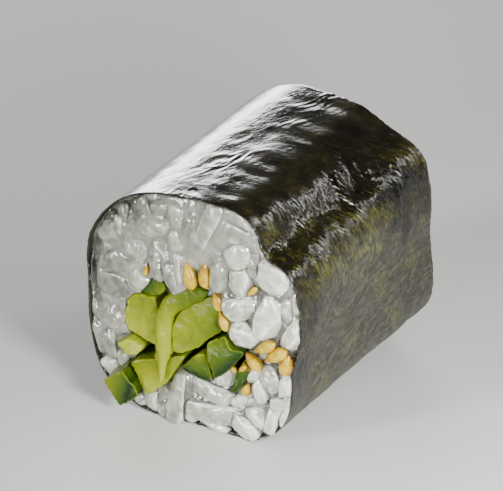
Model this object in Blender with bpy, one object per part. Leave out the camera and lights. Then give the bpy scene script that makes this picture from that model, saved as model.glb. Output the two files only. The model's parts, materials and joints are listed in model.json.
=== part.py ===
"""Cucumber maki lying on its side: one piece cut from a roll of nori, rice and cucumber.

The roll lies along Y with its front cut face at -Y, Z is up and the underside rests on z = 0.
All named sizes are in millimetres and are turned into metres where the meshes are made.
"""

import math
import random

import bmesh
import bpy
import numpy as np
from mathutils import Matrix, Vector

MM = 0.001

# The roll: a soft rounded square, as pressed by the rolling mat
ROLL_LENGTH = 32.0
AXIS_HEIGHT = 14.1
FRONT_SHAPE = {"half_width": 13.9, "half_height": 14.5, "squareness": 2.7}
BACK_SHAPE = {"half_width": 13.6, "half_height": 14.2, "squareness": 3.0}
# Bulges and dents of the outline: angle round the axis, height, half width in degrees
FRONT_BULGES = (
    (-141, 0.5, 11), (-50, 0.9, 15), (-18, -0.5, 10), (46, -1.9, 10), (70, 0.7, 9), (157, 0.5, 14),
)
BACK_BULGES = (
    (-138, 0.5, 14), (-36, 0.9, 14), (0, -0.5, 14), (57, -1.2, 13), (110, 0.6, 14), (160, 0.3, 14),
)

# The nori: one sheet rolled round, its edge lapped under the right-hand side
NORI_THICK = 0.25
LAP_START = -88.0
LAP_END = -58.0
LAP_EDGE = 0.8
LAP_RELAX = 24.0
RIM_WAVE = 0.3
# Waves of the rim: strength, times round, turn between the two ends
RIM_WAVES = ((0.5, 3.0, 2.0), (0.35, 7.0, 1.0))
CREASE_DEPTH = 0.16
CREASE_BASE = 0.5
# Waves of the creases: strength, times round, turn along the roll, start
CREASE_WAVES = ((0.25, 5.0, 4.0, 0.0), (0.15, 11.0, -7.0, 1.3), (0.1, 3.0, 13.0, 0.4))
CREASE_FREE_FROM = 40.0
CREASE_FADE = 20.0
NORI_AROUND = 72
NORI_ALONG = 8

# Clear gap between neighbouring pieces
GAP = 0.3
RICE_WALL = 0.45
RICE_AROUND = 72
RICE_ALONG = 3
RICE_RECESS = 1.3
# The hole follows the sticks: points on each side of a stick, steps of the hole that a point holds
HOLE_SAMPLES = 24
HOLE_REACH = 1.3
OUTLINE_SPACING = 0.3

# Rice grains: cooked short grain
GRAIN_LENGTH = 5.0
GRAIN_WIDTH = 2.3
GRAIN_SIZES = (1.08, 1.0, 0.9, 0.78, 0.66, 0.58)
GRAIN_TRIES = 1500
GRAIN_SPACING = 0.70
GRAIN_CLEAR = 0.14
GRAIN_SLANTS = (0.0, 8.0, 18.0, 30.0, 50.0)
GRAIN_THICK = (0.8, 0.95)
GRAIN_SIDES = 6
GRAIN_RINGS = 5
GRAIN_PLUMP = 2.4
GRAIN_OUT = (-0.1, 0.6)
GRAIN_BITE = 0.3
GRAIN_SEED = {"front": 11, "back": 29}

# Sesame seeds: place across the cut face and turn in degrees
SEED_LENGTH = 3.1
SEED_WIDTH = 1.6
SEED_THICK = 1.2
SEED_OUT = 0.4
SEED_SLANT = 0.14
SEED_ROLL = 0.3
SEED_POINT = 0.35
SEED_POINT_FROM = 0.3
SEED_SIDES = 6
SEED_RINGS = 5
SEED_CROWD = 0.8
SEED_STEP = 0.1
SEED_STEPS = 30
FRONT_SEEDS = (
    (-0.7, 5.0, 70), (1.2, 5.3, 100), (3.3, 3.0, 120), (4.6, 0.9, 110), (8.8, -4.3, 20),
    (9.6, -1.8, 35), (10.9, -3.1, -40), (12.2, -2.3, 60), (7.2, -8.3, 80), (4.8, -1.0, 95),
)
BACK_SEEDS = (
    (-6.2, 6.4, 20), (-3.1, 5.2, 75), (0.4, 5.9, 110), (4.9, 2.4, 60), (7.6, -1.6, -30),
    (8.3, -4.8, 40), (4.1, -9.3, 10), (-10.6, -2.7, 85),
)

# Cucumber sticks: the bundle's middle, how it drifts and turns towards the back
BUNDLE_MIDDLE = (-1.5, -4.2)
BUNDLE_DRIFT = (0.9, 0.8)
BUNDLE_TURN = -9.0
STICK_ALONG = 3
CORNER_CUTS = 2
CORNER_CUT_SHARE = 0.22
SHORTEST_SIDE = 0.32
SHARP_ANGLE = 38.0
END_DOME = 0.22
# Corners across the cut face, how far the ends stand out at front and back, slope of the end
STICKS = {
    "cucumber_upper_left": {
        "corners": ((-9.0, -4.2), (-6.3, -5.0), (-5.0, -6.0), (-5.0, 0.8), (-7.2, 0.8), (-8.8, -0.2)),
        "front": 0.0, "back": 0.4, "slope": (0.05, 0.02), "skin": False,
    },
    "cucumber_centre": {
        "corners": ((-1.9, -0.7), (-2.4, -2.2), (-2.5, -3.8), (-2.1, -5.1), (-0.6, -4.7), (0.8, -3.9),
                    (1.8, -2.8), (3.8, -1.2), (3.6, 1.1), (2.3, 2.6), (1.6, 2.5), (-0.2, 1.0), (-1.3, 0.2)),
        "front": 0.5, "back": 0.2, "slope": (-0.08, 0.03), "skin": False,
    },
    "cucumber_lower": {
        "corners": ((-7.6, -7.4), (-6.9, -9.1), (-6.0, -11.4), (-5.3, -11.3), (-3.0, -9.2),
                    (-2.2, -7.6), (-0.8, -5.3), (-2.8, -5.9), (-6.2, -6.9)),
        "front": 0.9, "back": 0.5, "slope": (-0.12, 0.02), "skin": True,
    },
    "cucumber_bit": {
        "corners": ((-9.6, -5.9), (-8.4, -6.9), (-6.9, -6.7), (-6.3, -5.7), (-7.2, -5.2), (-8.5, -5.0)),
        "front": 0.8, "back": 0.1, "slope": (0.1, -0.1), "skin": False,
    },
    "cucumber_underside": {
        "corners": ((-1.8, -7.4), (1.4, -8.0), (2.6, -7.6), (2.1, -5.9), (1.7, -4.5), (1.0, -4.4),
                    (-0.3, -5.7)),
        "front": 0.3, "back": 0.6, "slope": (0.1, 0.05), "skin": True,
    },
    "cucumber_right": {
        "corners": ((2.0, -2.9), (2.3, -4.6), (2.8, -6.0), (3.0, -7.3), (4.3, -6.3), (6.4, -3.9),
                    (7.0, -2.7), (5.1, -3.0), (4.6, -1.2)),
        "front": 0.6, "back": 0.3, "slope": (0.04, -0.05), "skin": True,
    },
    "cucumber_strip": {
        "corners": ((6.9, -3.8), (6.5, -4.6), (5.8, -5.7), (5.4, -7.2), (5.1, -8.6), (5.8, -8.3),
                    (7.2, -6.1), (8.1, -4.5), (7.6, -3.5)),
        "front": 0.3, "back": 0.2, "slope": (0.0, 0.06), "skin": True,
    },
    "cucumber_top": {
        "corners": ((-6.8, 1.1), (-5.0, 1.2), (-4.1, 1.5), (-3.2, 2.7), (-4.1, 3.7), (-4.9, 3.5)),
        "front": 0.2, "back": 0.5, "slope": (0.05, 0.1), "skin": True,
    },
}

# The stick at the lower left corner stands out over the nori's rim
CORNER_STICK = "cucumber_corner"
CORNER_MIDDLE = (-8.5, -10.2)
CORNER_SIZE = 3.05
CORNER_TURN = 38.0
CORNER_OUT = 2.6
CORNER_BACK = 0.4
CORNER_LEAN = (0.5, -0.2)
CORNER_LEAN_FROM = 1.35
CORNER_FLARE = 1.14

# The soft tongue of flesh in the middle: a curved slice whose tip hangs over the stick below
TONGUE = "cucumber_tongue"
TONGUE_PATH = ((1.7, 3.5), (-4.3, 2.5), (-3.8, -5.4))
TONGUE_HALF_WIDTHS = (0.3, 0.85, 0.95, 0.95, 0.9, 0.7)
TONGUE_STATIONS = 9
TONGUE_OUT = 0.7
TONGUE_BACK = 0.2
TONGUE_SLOPE = (0.02, 0.04)
# Tip of the tongue: across, up, out from the cut face, half width, half thickness
TONGUE_TIP = (
    (-3.75, -3.2, 0.35, 0.85, 0.30), (-3.7, -4.8, 0.85, 0.95, 0.36), (-3.5, -6.4, 1.60, 0.80, 0.34),
    (-3.3, -7.8, 1.75, 0.45, 0.28), (-3.1, -8.8, 1.75, 0.16, 0.16),
)
TIP_SIDES = 8
TIP_TILT = 0.5

COLOURS = {
    "nori": ((0.022, 0.026, 0.014), 0.32),
    "rice": ((0.66, 0.66, 0.61), 0.34),
    "cucumber_flesh": ((0.42, 0.47, 0.11), 0.28),
    "cucumber_skin": ((0.13, 0.24, 0.03), 0.30),
}


# ---------------------------------------------------------------------------
# Shape of the roll
# ---------------------------------------------------------------------------

def angle_apart(one, other):
    """Smallest difference between two angles in degrees."""
    return (one - other + 180.0) % 360.0 - 180.0


def outline_radius(angle, shape, bulges):
    """Radius of a rounded square with bulges, at an angle in degrees."""
    turn = math.radians(angle)
    across = abs(math.cos(turn)) / shape["half_width"]
    up = abs(math.sin(turn)) / shape["half_height"]
    power = shape["squareness"]
    radius = (across ** power + up ** power) ** (-1.0 / power)
    for middle, height, spread in bulges:
        radius += height * math.exp(-(angle_apart(angle, middle) / spread) ** 2)
    return radius


def crease(angle, along):
    """Shallow creases of the wrap, none on the part of it that rests."""
    free = min(1.0, max(0.0, (abs(angle_apart(angle, -90.0)) - CREASE_FREE_FROM) / CREASE_FADE))
    turn = math.radians(angle)
    wave = 0.0
    for strength, times, twist, start in CREASE_WAVES:
        wave += strength * math.sin(times * turn + twist * along + start)
    return CREASE_DEPTH * free * (wave - CREASE_BASE)


def roll_radius(angle, along):
    """Outside radius of the roll; along runs from 0 at the front to 1 at the back."""
    front = outline_radius(angle, FRONT_SHAPE, FRONT_BULGES)
    back = outline_radius(angle, BACK_SHAPE, BACK_BULGES)
    return front + (back - front) * along + crease(angle, along)


def roll_point(angle, along, inset):
    """Point (across, up from the axis) an inset below the roll's outside."""
    radius = roll_radius(angle, along) - inset
    turn = math.radians(angle)
    across = radius * math.cos(turn)
    up = max(radius * math.sin(turn), -AXIS_HEIGHT + inset)
    return across, up


def lap_insets(angle):
    """Insets of the nori's outside and inside, with the lapped edge stepped."""
    past_end = angle_apart(angle, LAP_END)
    past_start = angle_apart(angle, LAP_START)
    if 0.0 < past_end < LAP_RELAX:
        outside = NORI_THICK * 0.5 * (1.0 + math.cos(math.pi * past_end / LAP_RELAX))
        return outside, outside + NORI_THICK
    if past_start > 0.0 and past_end <= 0.0:
        return 0.0, 2.0 * NORI_THICK
    return 0.0, NORI_THICK


def bundle_point(across, up, along):
    """A point of the cucumber bundle, drifted and turned towards the back."""
    turn = math.radians(BUNDLE_TURN * along)
    from_middle = (across - BUNDLE_MIDDLE[0], up - BUNDLE_MIDDLE[1])
    turned_across = from_middle[0] * math.cos(turn) - from_middle[1] * math.sin(turn)
    turned_up = from_middle[0] * math.sin(turn) + from_middle[1] * math.cos(turn)
    return (
        BUNDLE_MIDDLE[0] + turned_across + BUNDLE_DRIFT[0] * along,
        BUNDLE_MIDDLE[1] + turned_up + BUNDLE_DRIFT[1] * along,
    )


def place(across, along_mm, up):
    """Vertex in metres from millimetres across, along the roll and up from its axis."""
    return (across * MM, along_mm * MM, (up + AXIS_HEIGHT) * MM)


# ---------------------------------------------------------------------------
# Sections of the cucumber sticks
# ---------------------------------------------------------------------------

def cut_corners(points, times):
    """Round a closed outline by cutting each corner, times over."""
    for _ in range(times):
        rounded = []
        for index, point in enumerate(points):
            following = points[(index + 1) % len(points)]
            for share in (CORNER_CUT_SHARE, 1.0 - CORNER_CUT_SHARE):
                rounded.append((
                    point[0] + (following[0] - point[0]) * share,
                    point[1] + (following[1] - point[1]) * share,
                ))
        points = rounded
    return points


def thin_out(points):
    """Drop points of an outline that lie closer than the shortest side wanted."""
    kept = [points[0]]
    for point in points[1:]:
        if math.dist(point, kept[-1]) >= SHORTEST_SIDE:
            kept.append(point)
    if math.dist(kept[0], kept[-1]) < SHORTEST_SIDE:
        kept.pop()
    return kept


def square_corners(middle, size, turn):
    """Corners of a turned square."""
    reach = size / math.sqrt(2.0)
    corners = []
    for quarter in range(4):
        angle = math.radians(turn + 45.0 + 90.0 * quarter)
        corners.append((middle[0] + reach * math.cos(angle), middle[1] + reach * math.sin(angle)))
    return corners


def tongue_outline():
    """Outline of the curved slice: a band of changing width along a bent path."""
    start, bend, end = (np.array(point) for point in TONGUE_PATH)
    share = np.linspace(0.0, 1.0, TONGUE_STATIONS)[:, None]
    middle = (1 - share) ** 2 * start + 2 * share * (1 - share) * bend + share ** 2 * end
    heading = 2 * (1 - share) * (bend - start) + 2 * share * (end - bend)
    heading /= np.linalg.norm(heading, axis=1, keepdims=True)
    sideways = np.column_stack((-heading[:, 1], heading[:, 0]))
    stops = np.linspace(0.0, 1.0, len(TONGUE_HALF_WIDTHS))
    half = np.interp(share[:, 0], stops, TONGUE_HALF_WIDTHS)[:, None]
    one_side = middle + sideways * half
    other_side = middle - sideways * half
    outline = [tuple(point) for point in one_side]
    outline += [tuple(point) for point in other_side[::-1]]
    return outline


def stick_outlines():
    """Rounded outline of every stick at the front cut face."""
    outlines = {}
    for name, stick in STICKS.items():
        outlines[name] = thin_out(cut_corners(stick["corners"], CORNER_CUTS))
    square = square_corners(CORNER_MIDDLE, CORNER_SIZE, CORNER_TURN)
    outlines[CORNER_STICK] = thin_out(cut_corners(square, CORNER_CUTS))
    outlines[TONGUE] = thin_out(cut_corners(tongue_outline(), 1))
    return outlines


def hole_radii(outlines):
    """Reach of the bundle from its middle for each angle, with a clear gap added."""
    angles = np.arange(RICE_AROUND) * 2.0 * math.pi / RICE_AROUND
    reach = np.zeros(RICE_AROUND)
    for outline in outlines.values():
        corners = np.array(outline) - np.array(BUNDLE_MIDDLE)
        sides = []
        for start, end in zip(corners, np.roll(corners, -1, axis=0)):
            sides.append(start + (end - start) * np.linspace(0.0, 1.0, HOLE_SAMPLES)[:, None])
        points = np.vstack(sides)
        bearing = np.arctan2(points[:, 1], points[:, 0])
        distance = np.hypot(points[:, 0], points[:, 1])
        apart = (bearing[None, :] - angles[:, None] + math.pi) % (2.0 * math.pi) - math.pi
        near = np.abs(apart) < HOLE_REACH * math.pi / RICE_AROUND
        reach = np.maximum(reach, np.where(near, distance[None, :], 0.0).max(axis=1))
    held = np.maximum(reach, 0.5 * (np.roll(reach, 1) + np.roll(reach, -1)))
    return angles, held + GAP


# ---------------------------------------------------------------------------
# Mesh helpers
# ---------------------------------------------------------------------------

def new_object(name, collection, vertices, faces):
    """Object from vertices and faces, with its normals turned outwards."""
    mesh = bpy.data.meshes.new(name)
    mesh.from_pydata(vertices, [], faces)
    mesh.validate()
    work = bmesh.new()
    work.from_mesh(mesh)
    bmesh.ops.recalc_face_normals(work, faces=work.faces)
    work.to_mesh(mesh)
    work.free()
    made = bpy.data.objects.new(name, mesh)
    collection.objects.link(made)
    return made


def bridge(faces, first, second, count):
    """Quads between two closed loops of vertices given by their first indices."""
    for index in range(count):
        following = (index + 1) % count
        faces.append((first + index, first + following, second + following, second + index))


def dome_cap(vertices, faces, first, count, out):
    """Close a loop with a fan round a middle vertex that stands out along the roll."""
    loop = np.array(vertices[first:first + count])
    middle = loop.mean(axis=0)
    middle[1] += out * MM
    vertices.append(tuple(middle))
    top = len(vertices) - 1
    for index in range(count):
        faces.append((first + index, first + (index + 1) % count, top))


def finish(made, material_name):
    """Give an object its material and smooth shading."""
    made.data.materials.append(bpy.data.materials[material_name])
    for polygon in made.data.polygons:
        polygon.use_smooth = True
    made.data.set_sharp_from_angle(angle=math.radians(SHARP_ANGLE))


def make_materials():
    """One material for each kind of food."""
    for name, (colour, roughness) in COLOURS.items():
        material = bpy.data.materials.new(name)
        material.use_nodes = True
        surface = material.node_tree.nodes["Principled BSDF"]
        surface.inputs["Base Color"].default_value = (*colour, 1.0)
        surface.inputs["Roughness"].default_value = roughness
        surface.inputs["Metallic"].default_value = 0.0
        material.diffuse_color = (*colour, 1.0)


# ---------------------------------------------------------------------------
# Nori
# ---------------------------------------------------------------------------

def rim_wave(angle, end):
    """How far the nori's rim waves along the roll at one end."""
    turn = math.radians(angle)
    return RIM_WAVE * sum(
        strength * math.sin(times * turn + twist * end) for strength, times, twist in RIM_WAVES
    )


def make_nori(collection):
    """The rolled sheet: a thin closed band with its edge lapped at the underside."""
    angles = sorted(
        [360.0 * index / NORI_AROUND - 180.0 for index in range(NORI_AROUND)]
        + [LAP_START + LAP_EDGE, LAP_END + LAP_EDGE]
    )
    count = len(angles)
    vertices = []
    for layer in range(2):
        for row in range(NORI_ALONG + 1):
            along = row / NORI_ALONG
            for angle in angles:
                inset = lap_insets(angle)[layer]
                across, up = roll_point(angle, along, inset)
                wave = rim_wave(angle, 0) * (1.0 - along) ** 3 + rim_wave(angle, 1) * along ** 3
                vertices.append(place(across, (along - 0.5) * ROLL_LENGTH + wave, up))
    faces = []
    layer_size = count * (NORI_ALONG + 1)
    for layer in range(2):
        for row in range(NORI_ALONG):
            start = layer * layer_size + row * count
            bridge(faces, start, start + count, count)
    bridge(faces, 0, layer_size, count)
    last = NORI_ALONG * count
    bridge(faces, last, layer_size + last, count)
    nori = new_object("nori", collection, vertices, faces)
    finish(nori, "nori")
    return nori


# ---------------------------------------------------------------------------
# Cucumber
# ---------------------------------------------------------------------------

def stick_mesh(name, collection, outline, front, back, slope, lean=(0.0, 0.0), lean_from=None, flare=1.0):
    """A stick through the roll: its section carried from the front end to the back end."""
    count = len(outline)
    middle = np.array(outline).mean(axis=0)
    half = ROLL_LENGTH / 2.0
    rows = [(-half - front, 1.0)]
    if lean_from is not None:
        rows.append((-half - lean_from, 0.0))
    for step in range(1, STICK_ALONG):
        rows.append((ROLL_LENGTH * (step / STICK_ALONG - 0.5), 0.0))
    rows.append((half + back, 0.0))
    vertices = []
    for row, (along_mm, out) in enumerate(rows):
        along = min(1.0, max(0.0, along_mm / ROLL_LENGTH + 0.5))
        size = 1.0 + (flare - 1.0) * out
        is_end = row in (0, len(rows) - 1)
        for point in outline:
            across = middle[0] + (point[0] - middle[0]) * size + lean[0] * out
            up = middle[1] + (point[1] - middle[1]) * size + lean[1] * out
            slant = (point[0] - middle[0]) * slope[0] + (point[1] - middle[1]) * slope[1]
            across, up = bundle_point(across, up, along)
            vertices.append(place(across, along_mm + (slant if is_end else 0.0), up))
    faces = []
    for row in range(len(rows) - 1):
        bridge(faces, row * count, (row + 1) * count, count)
    dome_cap(vertices, faces, 0, count, -END_DOME)
    dome_cap(vertices, faces, (len(rows) - 1) * count, count, END_DOME)
    return new_object(name, collection, vertices, faces)


def tongue_tip(name, collection):
    """The tongue's tip: a tapering strip that hangs out over the stick below it."""
    vertices = []
    for across, up, out, half_width, half_thick in TONGUE_TIP:
        for side in range(TIP_SIDES):
            turn = 2.0 * math.pi * (side + 0.5) / TIP_SIDES
            vertices.append(place(
                across + half_width * math.cos(turn),
                -ROLL_LENGTH / 2.0 - out + half_thick * math.sin(turn),
                up + TIP_TILT * half_thick * math.sin(turn),
            ))
    last = (len(TONGUE_TIP) - 1) * TIP_SIDES
    faces = [tuple(range(TIP_SIDES)), tuple(range(last, last + TIP_SIDES))]
    for row in range(len(TONGUE_TIP) - 1):
        bridge(faces, row * TIP_SIDES, (row + 1) * TIP_SIDES, TIP_SIDES)
    return new_object(name, collection, vertices, faces)


def make_sticks(collection, cutters, outlines):
    """Every stick of cucumber as its own solid."""
    for name, stick in STICKS.items():
        made = stick_mesh(name, collection, outlines[name], stick["front"], stick["back"], stick["slope"])
        finish(made, "cucumber_skin" if stick["skin"] else "cucumber_flesh")
    corner = stick_mesh(
        CORNER_STICK, collection, outlines[CORNER_STICK], CORNER_OUT, CORNER_BACK, (0.0, 0.0),
        lean=CORNER_LEAN, lean_from=CORNER_LEAN_FROM, flare=CORNER_FLARE,
    )
    finish(corner, "cucumber_skin")
    tongue = stick_mesh(
        TONGUE, collection, outlines[TONGUE], TONGUE_OUT, TONGUE_BACK, TONGUE_SLOPE,
    )
    tongue_tip("tongue_tip", cutters)
    unite(tongue, cutters)
    finish(tongue, "cucumber_flesh")


# ---------------------------------------------------------------------------
# Rice with its sesame seeds
# ---------------------------------------------------------------------------

def rice_loops(along, angles, radii):
    """Outside and hole of the rice at one place along the roll."""
    outside = []
    hole = []
    for angle, radius in zip(angles, radii):
        degrees = math.degrees(angle)
        outside.append(roll_point(degrees, along, 2.0 * NORI_THICK + GAP))
        across = BUNDLE_MIDDLE[0] + radius * math.cos(angle)
        up = BUNDLE_MIDDLE[1] + radius * math.sin(angle)
        hole.append(bundle_point(across, up, along))
    limit = np.array(outside)
    kept = []
    for point in hole:
        room = np.hypot(*(limit - np.array(point)).T).min()
        bearing = math.atan2(point[1], point[0])
        short = max(0.0, RICE_WALL - room)
        kept.append((point[0] - short * math.cos(bearing), point[1] - short * math.sin(bearing)))
    return outside, kept


def make_rice_core(collection, angles, radii):
    """The packed rice behind the grains, hollow where the cucumber runs through."""
    count = len(angles)
    vertices = []
    for layer in range(2):
        for row in range(RICE_ALONG + 1):
            along = row / RICE_ALONG
            loop = rice_loops(along, angles, radii)[layer]
            along_mm = (along - 0.5) * (ROLL_LENGTH - 2.0 * RICE_RECESS)
            vertices += [place(across, along_mm, up) for across, up in loop]
    faces = []
    layer_size = count * (RICE_ALONG + 1)
    for layer in range(2):
        for row in range(RICE_ALONG):
            start = layer * layer_size + row * count
            bridge(faces, start, start + count, count)
    bridge(faces, 0, layer_size, count)
    last = RICE_ALONG * count
    bridge(faces, last, layer_size + last, count)
    return new_object("rice", collection, vertices, faces)


def spindle(name, collection, length, width, thick, rings, sides, point=0.0):
    """A plump pointed-oval body about the origin with its length along X."""
    vertices = [(-0.5 * length * MM, 0.0, 0.0)]
    for ring in range(1, rings):
        share = -math.cos(math.pi * ring / rings)
        fat = math.sqrt(max(0.0, 1.0 - abs(share) ** GRAIN_PLUMP)) * (1.0 - point * (share + SEED_POINT_FROM))
        for side in range(sides):
            turn = 2.0 * math.pi * (side + 0.5 * (ring % 2)) / sides
            vertices.append((
                0.5 * length * share * MM,
                0.5 * width * fat * math.cos(turn) * MM,
                0.5 * thick * fat * math.sin(turn) * MM,
            ))
    vertices.append((0.5 * length * MM, 0.0, 0.0))
    last = len(vertices) - 1
    faces = []
    for side in range(sides):
        following = (side + 1) % sides
        faces.append((0, 1 + following, 1 + side))
        start = 1 + (rings - 2) * sides
        faces.append((last, start + side, start + following))
    for ring in range(rings - 2):
        bridge(faces, 1 + ring * sides, 1 + (ring + 1) * sides, sides)
    return new_object(name, collection, vertices, faces)


def dense(loop, spacing):
    """A closed outline filled up with points no further apart than the spacing."""
    points = []
    corners = np.array(loop)
    for start, end in zip(corners, np.roll(corners, -1, axis=0)):
        steps = max(1, int(math.ceil(math.dist(start, end) / spacing)))
        points.append(start + (end - start) * (np.arange(steps) / steps)[:, None])
    return np.vstack(points)


def inside(point, loop):
    """Whether a point lies within a closed outline."""
    corners = np.array(loop)
    following = np.roll(corners, -1, axis=0)
    above = corners[:, 1] > point[1]
    crosses = above != (following[:, 1] > point[1])
    rise = following[:, 1] - corners[:, 1]
    rise = np.where(rise == 0.0, 1e-9, rise)
    at = corners[:, 0] + (point[1] - corners[:, 1]) * (following[:, 0] - corners[:, 0]) / rise
    return bool(np.count_nonzero(crosses & (point[0] < at)) % 2)


def fits(spine, radius, outside, hole, outside_points, hole_points):
    """Whether a plump line keeps clear of the nori and of the cucumber."""
    for point in spine:
        if not inside(point, outside) or inside(point, hole):
            return False
        if np.hypot(*(outside_points - point).T).min() < radius + GRAIN_CLEAR - GAP:
            return False
        if np.hypot(*(hole_points - point).T).min() < radius + GRAIN_CLEAR - GAP:
            return False
    return True


def lay_grains(draw, outside, hole, taken):
    """Places for grains over the cut face, the largest first and none crowding another."""
    outside_points = dense(outside, OUTLINE_SPACING)
    hole_points = dense(hole, OUTLINE_SPACING)
    reach = float(np.abs(np.array(outside)).max())
    grains = []
    for size in GRAIN_SIZES:
        half_spine = 0.5 * (GRAIN_LENGTH - GRAIN_WIDTH) * size
        radius = 0.5 * GRAIN_WIDTH * size
        for _ in range(GRAIN_TRIES):
            middle = np.array((draw.uniform(-reach, reach), draw.uniform(-reach, reach)))
            heading = draw.uniform(0.0, math.pi)
            slant = math.radians(draw.choice(GRAIN_SLANTS))
            step = np.array((math.cos(heading), math.sin(heading))) * half_spine * math.cos(slant)
            spine = [middle + step * share for share in (-1.0, -0.5, 0.0, 0.5, 1.0)]
            crowded = any(
                min(math.dist(one, two) for one in spine for two in other) < GRAIN_SPACING * (radius + wide)
                for other, wide in taken
            )
            if crowded:
                continue
            if not fits(spine, radius, outside, hole, outside_points, hole_points):
                continue
            taken.append((spine, radius))
            grains.append((middle, heading, size, slant))
    return grains


def turned(heading, slant, roll, end):
    """Turning of a body lying along X to a heading in the cut face and a slant out of it."""
    face = Matrix.Rotation(-heading, 4, "Y")
    lift = Matrix.Rotation(end * slant, 4, "Z")
    return face @ lift @ Matrix.Rotation(roll, 4, "X")


def level_on_core(out, length, thick, slant):
    """Distance of a body from the roll's middle, low enough for it to bite into the core."""
    reach = 0.5 * math.hypot(length * math.sin(slant), thick * math.cos(slant))
    face = 0.5 * ROLL_LENGTH
    return min(face + out - reach, face - RICE_RECESS + reach - GRAIN_BITE)


def put(made, matrix, middle, along_mm):
    """Turn a body and move it to its place in the roll, within its mesh."""
    spot = Vector(place(float(middle[0]), along_mm, float(middle[1])))
    made.data.transform(Matrix.Translation(spot) @ matrix)


def add_seeds(seeds, end, along, outside, hole, cutters, draw, taken):
    """Sesame seeds on the rice, each moved outwards until it is clear of the cucumber."""
    outside_points = dense(outside, OUTLINE_SPACING)
    hole_points = dense(hole, OUTLINE_SPACING)
    half_spine = 0.5 * (SEED_LENGTH - SEED_WIDTH)
    radius = 0.5 * SEED_WIDTH
    for across, up, turn in seeds:
        heading = math.radians(turn)
        middle = np.array((across, up))
        outwards = middle - np.array(BUNDLE_MIDDLE)
        outwards /= np.linalg.norm(outwards)
        step = np.array((math.cos(heading), math.sin(heading))) * half_spine
        for _ in range(SEED_STEPS):
            spine = [middle + step * share for share in (-1.0, 0.0, 1.0)]
            if fits(spine, radius, outside, hole, outside_points, hole_points):
                break
            middle = middle + outwards * SEED_STEP
        else:
            continue
        seed = spindle(
            "seed", cutters, SEED_LENGTH, SEED_WIDTH, SEED_THICK, SEED_RINGS, SEED_SIDES, point=SEED_POINT,
        )
        level = end * level_on_core(SEED_OUT, SEED_LENGTH, SEED_THICK, SEED_SLANT)
        roll = 0.5 * math.pi + draw.uniform(-SEED_ROLL, SEED_ROLL)
        put(seed, turned(heading, SEED_SLANT, roll, end), middle, level)
        taken.append((spine, radius * SEED_CROWD))


def unite(target, cutters):
    """Fuse every body of the cutters into the target and remove them."""
    joined = target.modifiers.new("fuse", "BOOLEAN")
    joined.operation = "UNION"
    joined.operand_type = "COLLECTION"
    joined.collection = cutters
    joined.solver = "MANIFOLD"
    bpy.context.view_layer.objects.active = target
    with bpy.context.temp_override(object=target, active_object=target):
        bpy.ops.object.modifier_apply(modifier=joined.name)
    for used in list(cutters.objects):
        bpy.data.objects.remove(used, do_unlink=True)


def keep_largest(made):
    """Keep the largest connected shell: loose scraps and sealed hollows go."""
    work = bmesh.new()
    work.from_mesh(made.data)
    waiting = set(work.faces)
    shells = []
    while waiting:
        shell = {waiting.pop()}
        edge_of_shell = list(shell)
        while edge_of_shell:
            face = edge_of_shell.pop()
            for edge in face.edges:
                for other in edge.link_faces:
                    if other in waiting:
                        waiting.discard(other)
                        shell.add(other)
                        edge_of_shell.append(other)
        shells.append(shell)
    shells.sort(key=len)
    for shell in shells[:-1]:
        bmesh.ops.delete(work, geom=list(shell), context="FACES")
    work.to_mesh(made.data)
    work.free()


def make_rice(collection, cutters, outlines):
    """Rice round the cucumber: a packed core with the grains and seeds that show fused on."""
    angles, radii = hole_radii(outlines)
    core = make_rice_core(collection, angles, radii)
    for end_name, end, along, seeds in (
        ("front", -1.0, 0.0, FRONT_SEEDS),
        ("back", 1.0, 1.0, BACK_SEEDS),
    ):
        draw = random.Random(GRAIN_SEED[end_name])
        outside, hole = rice_loops(along, angles, radii)
        taken = []
        add_seeds(seeds, end, along, outside, hole, cutters, draw, taken)
        for middle, heading, size, slant in lay_grains(draw, outside, hole, taken):
            length = GRAIN_LENGTH * size
            width = GRAIN_WIDTH * size
            thick = width * draw.uniform(*GRAIN_THICK)
            grain = spindle("grain", cutters, length, width, thick, GRAIN_RINGS, GRAIN_SIDES)
            level = end * level_on_core(draw.uniform(*GRAIN_OUT), length, thick, slant)
            put(grain, turned(heading, slant, draw.uniform(0.0, math.pi), end), middle, level)
    unite(core, cutters)
    keep_largest(core)
    finish(core, "rice")
    return core


def main():
    for old in list(bpy.data.objects):
        bpy.data.objects.remove(old, do_unlink=True)
    maki = bpy.data.collections.new("cucumber_maki")
    bpy.context.scene.collection.children.link(maki)
    cutters = bpy.data.collections.new("cutters")
    bpy.context.scene.collection.children.link(cutters)
    make_materials()
    outlines = stick_outlines()
    make_nori(maki)
    make_rice(maki, cutters, outlines)
    make_sticks(maki, cutters, outlines)


main()
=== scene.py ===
# %% [markdown]
# # Cucumber maki, lying on its side
#
# One piece of a thin sushi roll: a sheet of nori round sticky rice, with sticks of cucumber and a few
# sesame seeds in the middle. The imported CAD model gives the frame: every place and size below is
# worked out in its coordinates. The roll lies along Y, its shown cut face looks along -Y, and it
# rests on z = 0. Sizes are written in millimetres and turned into metres in one function.

import json
import math

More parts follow.
